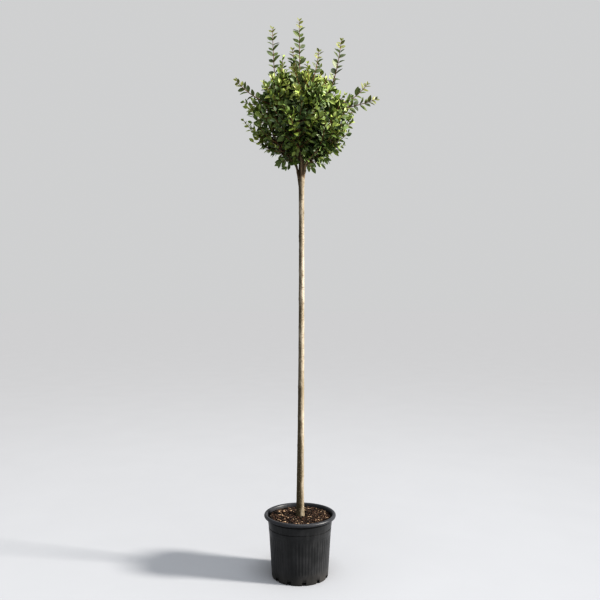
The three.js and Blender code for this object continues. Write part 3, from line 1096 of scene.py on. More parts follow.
@dataclass
class Soil(Assembly):
    """The compost, mounded round the stem and covered in bark chips."""

    pot: Pot
    edge_level: float = 0.2355
    crown_level: float = 0.2405
    mound_power: float = 1.6  # higher makes a flatter mound with a steeper edge
    inset: float = 0.0006
    floor_gap: float = 0.0003
    lump: float = 0.0026
    lumps: Sequence[Ripple] = (Ripple(1.0, (70.0, 70.0, 70.0)), Ripple(0.6, (190.0, 190.0, 190.0)))
    level_edge: float = 0.006  # the lumps fade out over this width at the wall
    cavity_radius: float = 0.092
    cavity_height: float = 0.016
    crease: float = math.radians(80)
    rings: int = 34
    steps: int = 150

    chips: int = 5200
    chip_share: Mapping[Chip, float] = field(
        default_factory=lambda: {Chip.DARK: 0.53, Chip.BROWN: 0.38, Chip.TAN: 0.09}
    )
    chip_length: Span = (0.003, 0.0102)
    chip_power: float = 1.7  # higher makes more of the chips small
    chip_width: Span = (0.38, 0.75)  # as shares of the length
    chip_thickness: Span = (0.18, 0.42)
    chip_lift: Span = (0.1, 0.7)  # height of its middle over the compost, as shares of its thickness
    chip_raggedness: float = 0.16
    chip_tilts: Span = (0.3, 0.4)  # usual tilts about its width and its length, in radians
    chip_overhang: float = 0.55  # share of its length that stays clear of the wall
    chip_gap: float = 0.001
    stem_clear: float = 0.021
    seed: int = 23

    def edge_radius(self) -> float:
        """Radius at which the compost meets the pot's wall."""
        return self.pot.radius_at(self.edge_level) - self.pot.wall - self.inset

    def level(self, radius: float, angle: float) -> float:
        """Height of the compost's surface.

        Args:
            radius: Distance from the axis.
            angle: Direction from +X, in radians.

        Returns:
            The height.
        """
        edge = self.edge_radius()
        mound = lerp(self.crown_level, self.edge_level, (radius / edge) ** self.mound_power)
        spot = Vector(polar(radius, angle))
        rough = sum(ripple.at(spot) for ripple in self.lumps)
        return mound + self.lump * rough * smoothstep(edge, edge - self.level_edge, radius)

    def build(self) -> list[bpy.types.Object]:
        """Models and dresses the compost and its chips.

        Returns:
            The pieces.
        """
        edge, floor, low = self.edge_radius(), self.pot.floor + self.floor_gap, self.cavity_height
        profile = [(0.0, floor), (self.cavity_radius, floor), (self.cavity_radius, low)]
        profile.append((self.pot.radius_at(low) - self.pot.wall - self.inset, low))
        profile += [(edge * (1 - ring / self.rings), self.edge_level) for ring in range(self.rings + 1)]
        shape = spun(profile, self.steps)
        for vert in shape.verts:
            if vert.co.z > lerp(low, self.edge_level, 0.5):
                vert.co.z = self.level(math.hypot(vert.co.x, vert.co.y), math.atan2(vert.co.y, vert.co.x))
        mesh = mesh_from(shape, "compost", self.crease)
        return [place_piece("compost", mesh, Compost(), ["soil"]), *self.scatter()]

    def scatter(self) -> list[bpy.types.Object]:
        """Strews the bark chips, one joined mesh for each shade.

        Returns:
            The pieces.
        """
        dice = np.random.default_rng(self.seed)
        ends = (-0.5, 0.5)
        corners = np.array([(x, y, z) for x in ends for y in ends for z in ends])
        sides = np.array([(0, 1, 3, 2), (4, 6, 7, 5), (0, 4, 5, 1), (2, 3, 7, 6), (0, 2, 6, 4), (1, 5, 7, 3)])
        pieces = []
        for chip, share in self.chip_share.items():
            count = round(self.chips * share)
            points = np.concatenate([self.one_chip(corners, dice) for _ in range(count)])
            faces = (sides[None] + len(corners) * np.arange(count)[:, None, None]).reshape(-1, 4)
            mesh = mesh_from_arrays(f"bark_chips_{chip.name.lower()}", points, faces, smooth=False)
            pieces.append(place_piece(mesh.name, mesh, ChipBark(chip)))
        return pieces

    def one_chip(self, corners: np.ndarray, dice: np.random.Generator) -> np.ndarray:
        """One bark chip, lying on the compost.

        Args:
            corners: The corners of a unit cube.
            dice: Source of random numbers.

        Returns:
            The chip's corners.
        """
        length = lerp(*self.chip_length, dice.random() ** self.chip_power)
        width, thickness = (length * dice.uniform(*span) for span in (self.chip_width, self.chip_thickness))
        reach = self.edge_radius() - length * self.chip_overhang - self.chip_gap
        radius = lerp(self.stem_clear, reach, math.sqrt(dice.random()))
        angle = dice.uniform(0, math.tau)
        ragged = dice.uniform(-self.chip_raggedness, self.chip_raggedness, corners.shape)
        bent = (corners + ragged) * (length, width, thickness)
        turn = Matrix.Rotation(dice.uniform(0, math.tau), 3, "Z")
        for axis, tilt in zip("YX", self.chip_tilts):
            turn = turn @ Matrix.Rotation(dice.normal(0, tilt), 3, axis)
        height = self.level(radius, angle) + thickness * dice.uniform(*self.chip_lift)
        return bent @ np.array(turn).T + polar(radius, angle, height)


# Stem and boughs


@dataclass(frozen=True)
class Bow:
    """A curve that leaves its start towards a bend and ends at its end."""

    start: Vector
    bend: Vector
    end: Vector

    def point(self, share: float) -> Vector:
        """The point at a share of the curve."""
        rest = 1 - share
        return self.start * rest * rest + self.bend * 2 * rest * share + self.end * share * share

    def tangent(self, share: float) -> Vector:
        """The unit direction at a share of the curve."""
        slope = (self.bend - self.start) * (1 - share) + (self.end - self.bend) * share
        return slope.normalized()

    def points(self, steps: int) -> list[Vector]:
        """Points at even shares, both ends included."""
        return [self.point(step / steps) for step in range(steps + 1)]

    def share_at(self, distance: float, steps: int = 16) -> float:
        """Finds a place on the curve.

        Args:
            distance: How far back from the end it is.
            steps: Straight pieces that the curve is measured by.

        Returns:
            Its share of the curve, 0 beyond the start.
        """
        line = self.points(steps)
        for step in range(steps, 0, -1):
            piece = (line[step] - line[step - 1]).length
            if distance <= piece:
                return (step - distance / piece) / steps
            distance -= piece
        return 0.0


class Station(NamedTuple):
    """A place on the stem: height above the compost, diameter, and sway to the right."""

    height: float
    diameter: float
    sway: float


@dataclass
class Stem(Assembly):
    """The clear stem, with its flare, slight sway, bud rings and the knuckle under the head."""

    ground: float = 0.2413
    sunk: float = 0.012
    stations: Sequence[Station] = (
        Station(0.0, 0.038, 0.001),
        Station(0.012, 0.034, 0.001),
        Station(0.055, 0.0306, 0.001),
        Station(0.343, 0.026, 0.0035),
        Station(0.773, 0.0226, 0.006),
        Station(1.193, 0.0214, 0.0065),
        Station(1.328, 0.0226, 0.0057),
        Station(1.357, 0.0265, 0.0053),
        Station(1.385, 0.0192, 0.0051),
        Station(1.425, 0.0145, 0.005),
    )
    ring_step: float = 0.0052
    sides: int = 40
    ridges: Ripple = Ripple(0.00045, (260.0, 260.0, 26.0))
    waves: Ripple = Ripple(0.0005, (40.0, 40.0, 11.0))
    bud_step: float = 0.118
    bud_swell: float = 0.0007
    bud_width: float = 0.035  # as a share of the step
    bud_drift: float = 0.22  # share of the step by which a ring may be off its even place
    bud_drift_waves: float = 7.0
    scar_count: int = 9
    scar_heights: Span = (0.3, 1.36)
    scar_swell: float = 0.0012
    scar_height: float = 0.007
    scar_turn: float = 0.42
    seed: int = 5

    def __post_init__(self) -> None:
        """Deals out the height and direction of each old side shoot's scar."""
        dice = random.Random(self.seed)
        places = range(self.scar_count)
        self.scars = [(dice.uniform(*self.scar_heights), dice.uniform(0, math.tau)) for _ in places]

    def tip(self) -> Vector:
        """The top of the stem, where the leader grows on."""
        return Vector((self.stations[-1].sway, 0.0, self.ground + self.stations[-1].height))

    def relief(self, spot: Vector, angle: float, along: float) -> float:
        """How far the bark stands out.

        Args:
            spot: A point on the smooth stem.
            angle: Its direction round the stem, in radians.
            along: Its distance along the stem.

        Returns:
            The rise or fall.
        """
        drift = self.bud_drift * noise.noise(UP * (along * self.bud_drift_waves))
        phase = (along / self.bud_step + drift) % 1.0
        bud = math.exp(-(((phase - 0.5) / self.bud_width) ** 2))
        mark = 0.0
        for height, facing in self.scars:
            turn = (angle - facing + math.pi) % math.tau - math.pi
            mark += math.exp(-(((along - height) / self.scar_height) ** 2) - (turn / self.scar_turn) ** 2)
        bark = self.ridges.at(spot) + self.waves.at(spot)
        return bark + self.bud_swell * bud + self.scar_swell * mark

    def build(self) -> list[bpy.types.Object]:
        """Models and dresses the stem.

        Returns:
            The piece.
        """
        heights, diameters, sways = zip(*self.stations)
        rows = np.arange(-self.sunk, heights[-1] + self.ring_step / 2, self.ring_step)
        points = [
            Vector((sway, 0.0, self.ground + row)) for sway, row in zip(eased(rows, heights, sways), rows)
        ]
        shape = bmesh.new()
        grow_limb(shape, points, eased(rows, heights, diameters) / 2, self.sides, self.relief)
        bmesh.ops.recalc_face_normals(shape, faces=shape.faces)
        return [place_piece("stem", mesh_from(shape, "stem"), StemBark(), ["trunk"])]


@dataclass(frozen=True)
class Tier:
    """A whorl of boughs that leave the stem at about one height.

    Attributes:
        name: Its name.
        foot: Height at which its first bough leaves the stem.
        stagger: How much higher each next one does.
        diameter: Of a bough at its foot.
        way: Share of the way to its foliage's middle that is bough.
        reach: Distance of that middle from the stem's axis.
        height: Height of that middle.
        directions: Degrees from +X to each bough, by its name.
    """

    name: str
    foot: float
    stagger: float
    diameter: float
    way: float
    reach: float
    height: float
    directions: Mapping[str, float]


@dataclass(frozen=True)
class Mass:
    """One mass of foliage: the middle of its space and the bough that carries it."""

    name: str
    centre: Vector
    foot: Vector
    way: float
    diameter: float
    seat: float = 0.0  # how far out on the stem's flank the bough's foot stands
    bow: float = 0.57  # share of its rise that a bough has reached at its bend
    overrun: float = 0.42  # share by which the mass's stem runs on past the middle
    flank: Span = (0.005, 0.06)  # heights over its foot between which the bough leaves the flank
    drawn_from: float = 0.04  # height over its foot above which it is drawn in

    def bough(self) -> Bow:
        """The bough climbs beside the stem before it spreads towards its foliage.

        Returns:
            Its curve.
        """
        tip = self.foot.lerp(self.centre, self.way)
        bend = self.foot.lerp(tip, (1 - self.bow) / 2)
        bend.z = lerp(self.foot.z, tip.z, self.bow)
        return Bow(self.foot, bend, tip)

    def bough_point(self, share: float) -> Vector:
        """A point of the bough, which stands upright on the stem's flank and is drawn in a little above.

        Args:
            share: Share of the bough's curve.

        Returns:
            The point.
        """
        bough = self.bough()
        spot = bough.point(share)
        climbed = spot.z - self.foot.z
        flank = 1 - smoothstep(*self.flank, climbed)
        rise = min(1.0, max(0.0, (climbed - self.drawn_from) / (bough.end.z - self.foot.z - self.drawn_from)))
        out = bough.end - self.foot
        out.z = 0.0
        return spot + out.normalized() * self.seat * (flank - math.sin(math.pi * rise))

    def stem(self) -> Bow:
        """The mass's stem grows on from its bough through the middle of the mass.

        Returns:
            Its curve.
        """
        bough = self.bough()
        start = bough.end
        bend = start + bough.tangent(1.0) * ((start - self.centre).length / 2)
        return Bow(start, bend, self.centre + (self.centre - start) * self.overrun)


@dataclass
class Limbs(Assembly):
    """The leader and the boughs, each grown on as the stem of its mass."""

    stem: Stem
    tiers: Sequence[Tier] = (
        Tier(
            name="upper",
            foot=1.608,
            stagger=0.0015,
            diameter=0.0072,
            way=0.8,
            reach=0.106,
            height=1.934,
            directions={
                "right": 2,
                "back_right": 74,
                "back_left": 146,
                "front_left": 218,
                "front_right": 290,
            },
        ),
        Tier(
            name="lower",
            foot=1.586,
            stagger=0.0055,
            diameter=0.0095,
            way=0.56,
            reach=0.128,
            height=1.784,
            directions={
                "left": 212,
                "right": 32,
                "back": 92,
                "front_right": 328,
                "back_left": 152,
                "front": 268,
            },
        ),
    )
    seat: float = 0.0075
    leader_centre: Spot = (0.002, 0.004, 1.936)
    leader_way: float = 0.78
    leader_diameter: float = 0.0118
    leader_sunk: float = 0.004
    bough_tip: float = 0.0064
    stem_tip: float = 0.0034
    collar: float = 0.0012  # by which a bough is thicker at its very foot
    collar_steps: float = 2.5
    steps: int = 30
    sides: int = 10
    wander_width: float = 0.0042
    wander_start: float = 0.09  # length over which a limb begins to wander
    wander_waves: float = 16.0
    wander_phases: Spot = (3.1, 20.0, 31.0)  # set the limbs apart by length of name, X and Y
    wander_shift: Spot = (7.3, 1.7, 4.1)  # between the noise along X and that along Y
    grain: Ripple = Ripple(0.00035, (180.0, 180.0, 180.0))
    ring_step: float = 0.031
    ring_width: float = 0.09
    ring_swell: float = 0.0003
    ribs: int = 3
    rib_swell: float = 0.0001
    # Darker than the stem's bark: partly older bark, partly painted shade of the head over the boughs
    bark: Finish = StemBark(
        "bough_bark",
        pale=srgb(170, 150, 124),
        grey=srgb(124, 106, 84),
        bloom_and_painted_shade=srgb(72, 60, 44),
    )

    def masses(self) -> list[Mass]:
        """Every mass of foliage.

        Returns:
            The leader's, then each tier's.
        """
        tip = self.stem.tip()
        root = tip - UP * self.leader_sunk
        found = [Mass("leader", Vector(self.leader_centre), root, self.leader_way, self.leader_diameter)]
        for tier in self.tiers:
            for place, (side, degrees) in enumerate(tier.directions.items()):
                foot = Vector((tip.x, 0.0, tier.foot + tier.stagger * place))
                centre = Vector(polar(tier.reach, math.radians(degrees), tier.height))
                found.append(Mass(f"{tier.name}_{side}", centre, foot, tier.way, tier.diameter, self.seat))
        return found

    def build(self) -> list[bpy.types.Object]:
        """Models and dresses the boughs as one piece.

        Returns:
            The piece.
        """
        shape = bmesh.new()
        for mass in self.masses():
            bough = [mass.bough_point(step / self.steps) for step in range(self.steps + 1)]
            line = bough + mass.stem().points(self.steps // 2)[1:]
            points = [self.wander(point, mass) for point in line]
            grow_limb(shape, points, self.radii(mass), self.sides, self.relief)
        bmesh.ops.recalc_face_normals(shape, faces=shape.faces)
        mesh = mesh_from(shape, "boughs")
        return [place_piece("boughs", mesh, self.bark, packed_nodes("bough_"))]

    def radii(self, mass: Mass) -> list[float]:
        """Radius of each ring: a collar at the foot, then an even taper to the stem's end.

        Args:
            mass: The mass that the bough carries.

        Returns:
            The radii, from the bough's foot to the stem's end.
        """
        bough = [
            lerp(mass.diameter, self.bough_tip, step / self.steps) / 2
            + self.collar * math.exp(-step / self.collar_steps)
            for step in range(self.steps + 1)
        ]
        half = self.steps // 2
        return bough + [lerp(self.bough_tip, self.stem_tip, step / half) / 2 for step in range(1, half + 1)]

    def wander(self, point: Vector, mass: Mass) -> Vector:
        """Moves a limb's point a little aside by slow noise.

        Args:
            point: The point.
            mass: The mass that the limb carries.

        Returns:
            The moved point.
        """
        grown = smoothstep(0.0, self.wander_start, (point - mass.foot).length)
        by_name, by_x, by_y = self.wander_phases
        phase = mass.centre.x * by_x + mass.centre.y * by_y
        spot = Vector((point.z * self.wander_waves, len(mass.name) * by_name, phase))
        aside = Vector((noise.noise(spot), noise.noise(spot + Vector(self.wander_shift)), 0.0))
        return point + aside * self.wander_width * grown

    def relief(self, spot: Vector, angle: float, along: float) -> float:
        """Rise and fall of a bough's bark, with low bud rings and ribs."""
        ring = math.exp(-((((along / self.ring_step) % 1.0 - 0.5) / self.ring_width) ** 2))
        return self.grain.at(spot) + self.ring_swell * ring + self.rib_swell * math.cos(self.ribs * angle)


# Head


@dataclass(frozen=True)
class TwigKind:
    """One kind of twig: its thickness, and how leaves stand on it.

    Attributes:
        foot: Radius at its foot.
        tip: Radius at its tip.
        steps: Straight pieces that its curve is made of.
        pairs: Most pairs of leaves on it.
        internode: Space between two pairs.
        last: Size of the last pair, as a share of a full-grown one.
        full: Size of its full-grown leaves, as a share of the head's.
        bare_foot: Share of the twig that has no leaves.
        side_twigs: Chance that a leaf has a side twig in its axil.
        young: Pairs at the tip that have the young green.
        growing: Pairs at the tip that aren't full-grown.
        tip_joint: Length of its last joint.
        tip_space: Share of the internode that is left between the last pairs.
        looseness: How far leaves stray from their even places, from 0 to 1.
        crossing: Angle between one pair and the next.
    """

    foot: float
    tip: float
    steps: int
    pairs: int
    internode: float
    last: float
    full: float = 1.0
    bare_foot: float = 0.1
    side_twigs: float = 0.0
    young: int = 0
    growing: int = 3
    tip_joint: float = 0.003
    tip_space: float = 1.0
    looseness: float = 1.0
    crossing: float = math.pi / 2


SPRAY = TwigKind(0.0017, 0.0007, steps=6, pairs=6, internode=0.022, last=0.8, side_twigs=0.3)
OUTER_SPRAY = replace(SPRAY, last=0.74, bare_foot=0.15, side_twigs=0.22)
SIDE_TWIG = TwigKind(0.0009, 0.0005, steps=2, pairs=2, internode=0.019, last=0.7, bare_foot=0.2)
SPUR = TwigKind(0.0011, 0.0006, steps=2, pairs=2, internode=0.019, last=0.8, bare_foot=0.15)
SHORT_SHOOT = TwigKind(
    0.0019,
    0.0009,
    steps=8,
    pairs=7,
    internode=0.022,
    last=0.5,
    full=0.9,
    growing=4,
    tip_space=0.6,
    looseness=0.6,
)
CREST_SHOOT = replace(SHORT_SHOOT, pairs=9, internode=0.021)
LONG_SHOOT = TwigKind(
    0.0026,
    0.0011,
    steps=12,
    pairs=18,
    internode=0.0225,
    last=0.5,
    bare_foot=0.05,
    young=3,
    growing=4,
    tip_space=0.55,
    looseness=0.6,
    crossing=0.9,
)


@dataclass(frozen=True)
class Knot:
    """A joint of a twig that bears a pair of leaves."""

    spot: Vector
    tangent: Vector
    facing: Vector
    size: float
    looseness: float
    last: bool
    tint: Tint
    free: bool


@dataclass(frozen=True)
class Layer:
    """A shell of sprays: how many, and the shares of the head's height and depth that it takes up."""

    sprays: int
    rise: Span
    depth: Span
    kind: TwigKind


class Leaf(NamedTuple):
    """One leaf: where it starts, points and faces, its length, its tone and how loosely it stands."""

    root: Vector
    way: Vector
    face: Vector
    length: float
    tone: float
    looseness: float


@dataclass(frozen=True)
class HeadShape:
    """The outline of the head: a blunt egg, fullest below the middle, that leans and bulges a little."""

    bottom: float = 1.658
    top: float = 2.062
    radius: float = 0.218
    fullness: float = 0.88  # the lower, the lower down the head is at its fullest
    bluntness: float = 0.84
    lean: float = -0.05
    unevenness: float = 0.2
    bulges: float = 2.7

    def height_at(self, share: float) -> float:
        """The height at a share of the head, 0 at its bottom and 1 at its top."""
        return lerp(self.bottom, self.top, share)

    def share_of(self, height: float) -> float:
        """A height as a share of the head."""
        return (height - self.bottom) / (self.top - self.bottom)

    def radius_at(self, height: float) -> float:
        """Half-width of the head.

        Args:
            height: Where it is wanted.

        Returns:
            The half-width, 0 above and below the head.
        """
        share = self.share_of(height)
        if not 0 < share < 1:
            return 0.0
        return self.radius * math.sin(math.pi * share**self.fullness) ** self.bluntness

    def axis(self, height: float) -> Vector:
        """The middle of the head at a height, which leans a little to the left."""
        return Vector((self.lean * (height - self.height_at(0.5)), 0.0, height))

    def swell(self, spot: Vector) -> float:
        """Share of the half-width that the outline has in a direction, as it bulges or dips."""
        way = (spot - self.axis(self.height_at(0.5))).normalized()
        return 1 + self.unevenness * noise.noise(way * self.bulges)


@dataclass(frozen=True)
class LeafForm:
    """The form of a leaf: a pointed oval, folded along its rib and curled down at its tip."""

    length: float = 0.0342
    variety: float = 0.36  # by which leaves differ in length
    width: float = 0.53  # as a share of the length
    width_spread: Span = (0.9, 1.12)
    rows: Sequence[float] = (0.09, 0.2, 0.38, 0.57, 0.78, 0.93)  # shares of the length
    halves: Sequence[float] = (0.06, 0.29, 0.47, 0.49, 0.33, 0.13)  # half-widths there, of the width
    sunk: float = 0.02  # share of its length by which its root is in the twig
    fold: float = 0.16
    fold_spread: Span = (0.4, 1.6)
    curl: float = 0.13
    curl_spread: Span = (-0.2, 2.0)
    roll: float = 0.34  # usual turn about its rib, in radians
    seed: int = 31

    def faces(self) -> np.ndarray:
        """Triangles of a leaf, whose points are its root, rows of left edge, rib and right edge, and tip.

        Returns:
            Three places for each triangle.
        """
        corners = [(0, 2, 1), (0, 3, 2)]
        last = 1 + 3 * (len(self.rows) - 1)
        for first in range(1, last, 3):
            for left in (first, first + 1):
                corners += [(left, left + 1, left + 4), (left, left + 4, left + 3)]
        corners += [(last, last + 1, last + 3), (last + 1, last + 2, last + 3)]
        return np.array(corners)

    def mesh(self, name: str, leaves: Sequence[Leaf]) -> bpy.types.Mesh:
        """Leaves of one green as one mesh.

        Args:
            name: Name of the mesh.
            leaves: The leaves.

        Returns:
            The mesh, which carries the tone of each leaf and 1 along its rib.
        """
        halves = np.array(self.halves)
        along = np.r_[-self.sunk, np.repeat(self.rows, 3), 1.0]
        across = np.r_[0.0, np.stack([-halves, 0 * halves, halves], axis=1).ravel(), 0.0]
        corners, count = len(along), len(leaves)

        roots, ways, facings, lengths, tones, loose = (np.array(part) for part in zip(*leaves))
        flat = np.cross(facings, ways)
        flat /= np.linalg.norm(flat, axis=1, keepdims=True)
        upright = np.cross(ways, flat)
        dice = np.random.default_rng(self.seed)
        fold = self.fold * dice.uniform(*self.fold_spread, count)
        curl = self.curl * dice.uniform(*self.curl_spread, count)
        width = self.width * dice.uniform(*self.width_spread, count)
        roll = (loose * dice.normal(0.0, self.roll, count))[:, None]
        sides = np.cos(roll) * flat + np.sin(roll) * upright
        fronts = np.cos(roll) * upright - np.sin(roll) * flat

        lift = np.abs(across)[None] * fold[:, None] * 2 * width[:, None] - curl[:, None] * along[None] ** 2
        points = roots[:, None] + lengths[:, None, None] * (
            ways[:, None] * along[None, :, None]
            + sides[:, None] * (width[:, None] * across[None])[:, :, None]
            + fronts[:, None] * lift[:, :, None]
        )
        triangles = (self.faces()[None] + corners * np.arange(count)[:, None, None]).reshape(-1, 3)
        numbers = {"tone": np.repeat(tones, corners), "rib": np.tile(across == 0, count)}
        return mesh_from_arrays(name, points.reshape(-1, 3), triangles, numbers)


@dataclass
class Crown(Assembly):
    """The leafy head: twigs and leaves that grow on from the boughs and fill the head's outline."""

    limbs: Limbs
    head: HeadShape = HeadShape()
    leaf: LeafForm = LeafForm()
    raggedness: Span = (0.94, 1.16)  # shares of the outline that leaves are kept within

    layers: Sequence[Layer] = (
        Layer(80, (0.22, 0.86), (0.1, 0.4), SPRAY),
        Layer(130, (0.12, 0.88), (0.4, 0.7), SPRAY),
        Layer(205, (0.04, 0.9), (0.72, 1.0), OUTER_SPRAY),
    )
    turn_stray: float = 0.2  # radians by which a spray may be off its even place
    shoot_tips: Sequence[Spot] = (
        (-0.114, 0.046, 2.232),
        (-0.003, 0.0, 2.246),
        (-0.030, 0.026, 2.138),
        (0.074, -0.088, 2.088),
        (0.167, -0.014, 2.16),
        (-0.252, -0.072, 1.980),
        (0.274, 0.016, 1.992),
        (0.300, -0.062, 1.908),
        (-0.024, -0.226, 1.982),
        (-0.092, 0.262, 1.986),
        (0.104, 0.264, 1.958),
        (0.028, 0.172, 2.096),
    )
    open_strength: float = 1.2  # how strongly the leaves of a long shoot face the front or the back
    back_from: float = 0.1  # long shoots behind this Y face the back
    short_shoots: int = 38
    short_rise: Span = (0.12, 0.8)
    short_first: float = 1.0  # direction of the first one, in radians
    short_reach: Span = (0.96, 1.1)  # as shares of the outline
    short_lift: float = 0.05
    short_lift_rise: Span = (0.1, 0.45)  # shares of the head between which the lift sets in
    crest_shoots: int = 22
    crest_rise: Span = (0.9, 1.0)
    crest_first: float = 2.2
    crest_reach: float = 0.15
    crest_top: float = 2.084
    crest_fall: float = 3.8  # how fast the crest falls off to its edge
    crest_stray: Span = (-0.05, 0.02)
    spurs: int = 7  # on each bough
    spur_from: float = 0.6  # share of the bough above which they stand
    spur_lean: float = 0.5
    spur_length: Span = (0.03, 0.06)
    spur_arch: float = 0.003

    climb: float = 0.6  # how steeply a twig rises from its stem to its end
    bow: float = 0.64  # share of its spread that it has reached at its bend
    sag: float = 0.22  # share of its rise that it has reached there
    places: int = 40  # steps along a stem, where a twig may start
    bare_steps: tuple[int, int] = (5, 3)  # those at the foot and at the tip where none does
    side_lean: Span = (34.0, 58.0)  # degrees between a side twig and its twig
    side_length: Span = (0.026, 0.058)
    side_lift: Span = (-0.1, 0.25)  # as shares of its length
    twig_sides: int = 5

    spread: float = math.radians(47)  # between a leaf and its twig
    tip_spread: float = math.radians(28)  # the same for the last pair
    spread_stray: float = 0.25
    turn_gauss: float = 0.2  # usual turn of a twig's last pair, in radians
    pair_stray: float = 0.3  # radians by which each pair may be off its crossing
    joint_stray: Span = (-0.15, 0.2)  # shares by which a joint may be shorter or longer
    droop: float = 0.35  # of the leaves low on the head
    droop_rise: Span = (0.6, 0.0)  # shares of the head between which it sets in
    held: float = 0.4  # share of a leaf that has to be inside the outline
    face_tangent: float = 0.55  # how strongly leaves face along their twig
    face_up: float = 0.38  # upwards
    face_out: float = 0.8  # to their open side
    face_sway: float = 0.42  # and by chance
    out_strength: float = 0.75  # of the open side, where it is outwards from the head

    tint_out: float = 0.9  # how much fresher sprays are towards the outline, painting shade inside the head
    tint_rise: float = 0.6  # towards the top
    tint_side: float = 0.4  # a metre to the side
    tint_stray: float = 0.6  # and by chance
    tint_limits: Mapping[Tint, float] = field(
        default_factory=lambda: {Tint.DEEP: 0.74, Tint.DARK: 1.12, Tint.GREEN: 1.52, Tint.FRESH: math.inf}
    )
    least_outline: float = 0.08  # the outline counts as this wide at least
    seed: int = 31

    def __post_init__(self) -> None:
        """Starts the random numbers and the lists that the head grows into."""
        self.dice = random.Random(self.seed)
        self.leaves: dict[Tint, list[Leaf]] = {tint: [] for tint in Tint}
        self.twigs: list[tuple[list[Vector], TwigKind]] = []

    def inside(self, spot: Vector) -> bool:
        """True within the head's outline, or by chance a little outside it."""
        edge = self.head.radius_at(spot.z) * self.head.swell(spot) * self.dice.uniform(*self.raggedness)
        return (spot - self.head.axis(spot.z)).length < edge

    def stray(self, most: float) -> float:
        """A random number from minus the most to the most."""
        return self.dice.uniform(-most, most)

    def around(self, count: int, rise: Span, first: float) -> list[tuple[float, Vector]]:
        """Heights and directions spread evenly over the head.

        Args:
            count: How many.
            rise: Lowest and highest height as shares of the head.
            first: Direction of the first, in radians.

        Returns:
            A height and a level direction for each.
        """
        golden = math.pi * (3 - math.sqrt(5))
        found = []
        for place in range(count):
            turn = first + golden * place + self.stray(self.turn_stray)
            height = self.head.height_at(lerp(*rise, (place + 0.5) / count))
            found.append((height, Vector(polar(1.0, turn))))
        return found

    def targets(self, layer: Layer) -> list[Vector]:
        """Ends of a layer's sprays.

        Args:
            layer: The layer.

        Returns:
            A point for each spray.
        """
        found = []
        for height, way in self.around(layer.sprays, layer.rise, layer.depth[0]):
            spot = self.head.axis(height) + way * self.head.radius_at(height)
            depth = self.dice.uniform(*layer.depth) * self.head.swell(spot)
            found.append(self.head.axis(height).lerp(spot, depth))
        return found

    def short_tips(self) -> list[Vector]:
        """Tips of the short shoots, which stand a little way out of the outline.

        Returns:
            A point for each shoot.
        """
        found = []
        for height, way in self.around(self.short_shoots, self.short_rise, self.short_first):
            reach = self.head.radius_at(height) * self.dice.uniform(*self.short_reach)
            lift = self.dice.uniform(0.0, self.short_lift)
            lift *= smoothstep(*self.short_lift_rise, self.head.share_of(height))
            found.append(self.head.axis(height) + way * reach + UP * lift)
        return found

    def crest_tips(self) -> list[Vector]:
        """Tips of the upright shoots that stand close together on top of the head.

        Returns:
            A point for each shoot.
        """
        found = []
        for place, (_, way) in enumerate(self.around(self.crest_shoots, self.crest_rise, self.crest_first)):
            reach = self.crest_reach * math.sqrt((place + 0.5) / self.crest_shoots)
            height = self.crest_top - self.crest_fall * reach * reach + self.dice.uniform(*self.crest_stray)
            found.append(self.head.axis(height) + way * reach)
        return found

    def twig_curve(self, stem: Bow, target: Vector) -> Bow:
        """A twig leaves the stem below its target, spreads, and turns up towards the light.

        Args:
            stem: The stem of the twig's mass.
            target: Where the twig ends.

        Returns:
            Its curve.
        """
        foot, tip = self.bare_steps

        def miss(place: Vector) -> float:
            """How far a start on the stem is from where the twig's climb asks for it."""
            flat = math.hypot(target.x - place.x, target.y - place.y)
            return abs(place.z - (target.z - self.climb * flat))

        start = min(stem.points(self.places)[foot:-tip], key=miss)
        bend = start.lerp(target, self.bow)
        bend.z = lerp(start.z, target.z, self.sag)
        return Bow(start, bend, target)

    def spray_tint(self, spot: Vector) -> Tint:
        """The green of a spray: fresher near the outline and the top, deeper inside and below; the deeper
        greens inside are painted shade.

        Args:
            spot: Where the spray ends.

        Returns:
            The green.
        """
        head = self.head
        out = (spot - head.axis(spot.z)).length / max(self.least_outline, head.radius_at(spot.z))
        # painted shade: sprays deeper inside the head get darker greens
        score = self.tint_out * out + self.tint_rise * head.share_of(spot.z) + self.tint_side * abs(spot.x)
        score += self.stray(self.tint_stray)
        return next(tint for tint, limit in self.tint_limits.items() if score < limit)

    def add_twig(
        self, curve: Bow, kind: TwigKind, tint: Tint, free: bool, open_side: Vector | None = None
    ) -> None:
        """Grows a twig, with opposite pairs of leaves crosswise along it from its tip inwards.

        Args:
            curve: The twig's curve.
            kind: The kind of twig.
            tint: The green of its leaves.
            free: True where leaves may stand out of the head's outline.
            open_side: Where the leaves turn their faces, or None for outwards from the head.
        """
        self.twigs.append((curve.points(kind.steps), kind))
        side = open_side or sideways(curve.end - curve.start)
        first_turn = self.dice.gauss(-kind.crossing / 2, self.turn_gauss * kind.looseness)
        distance = kind.tip_joint
        for pair in range(kind.pairs):
            share = curve.share_at(distance)
            if share < kind.bare_foot:
                break
            node, tangent = curve.point(share), curve.tangent(share)
            turn = first_turn + pair % 2 * kind.crossing + self.stray(self.pair_stray) * kind.looseness
            out = swung(*cross_frame(tangent, side), turn)
            grown = min(1.0, pair / kind.growing)
            size = kind.full * lerp(kind.last, 1.0, grown)
            green = Tint.YOUNG if pair < kind.young else tint
            facing = open_side or Vector((node.x, node.y, 0.0)).normalized() * self.out_strength
            knot = Knot(node, tangent, facing, size, kind.looseness, pair == 0, green, free)
            for hand in (out, -out):
                self.add_leaf(knot, hand)
                if pair and self.dice.random() < kind.side_twigs:
                    self.add_side_twig(node, tangent, hand, tint)
            joint = kind.internode * lerp(kind.tip_space, 1.0, grown)
            distance += joint * (1 + self.dice.uniform(*self.joint_stray) * kind.looseness)

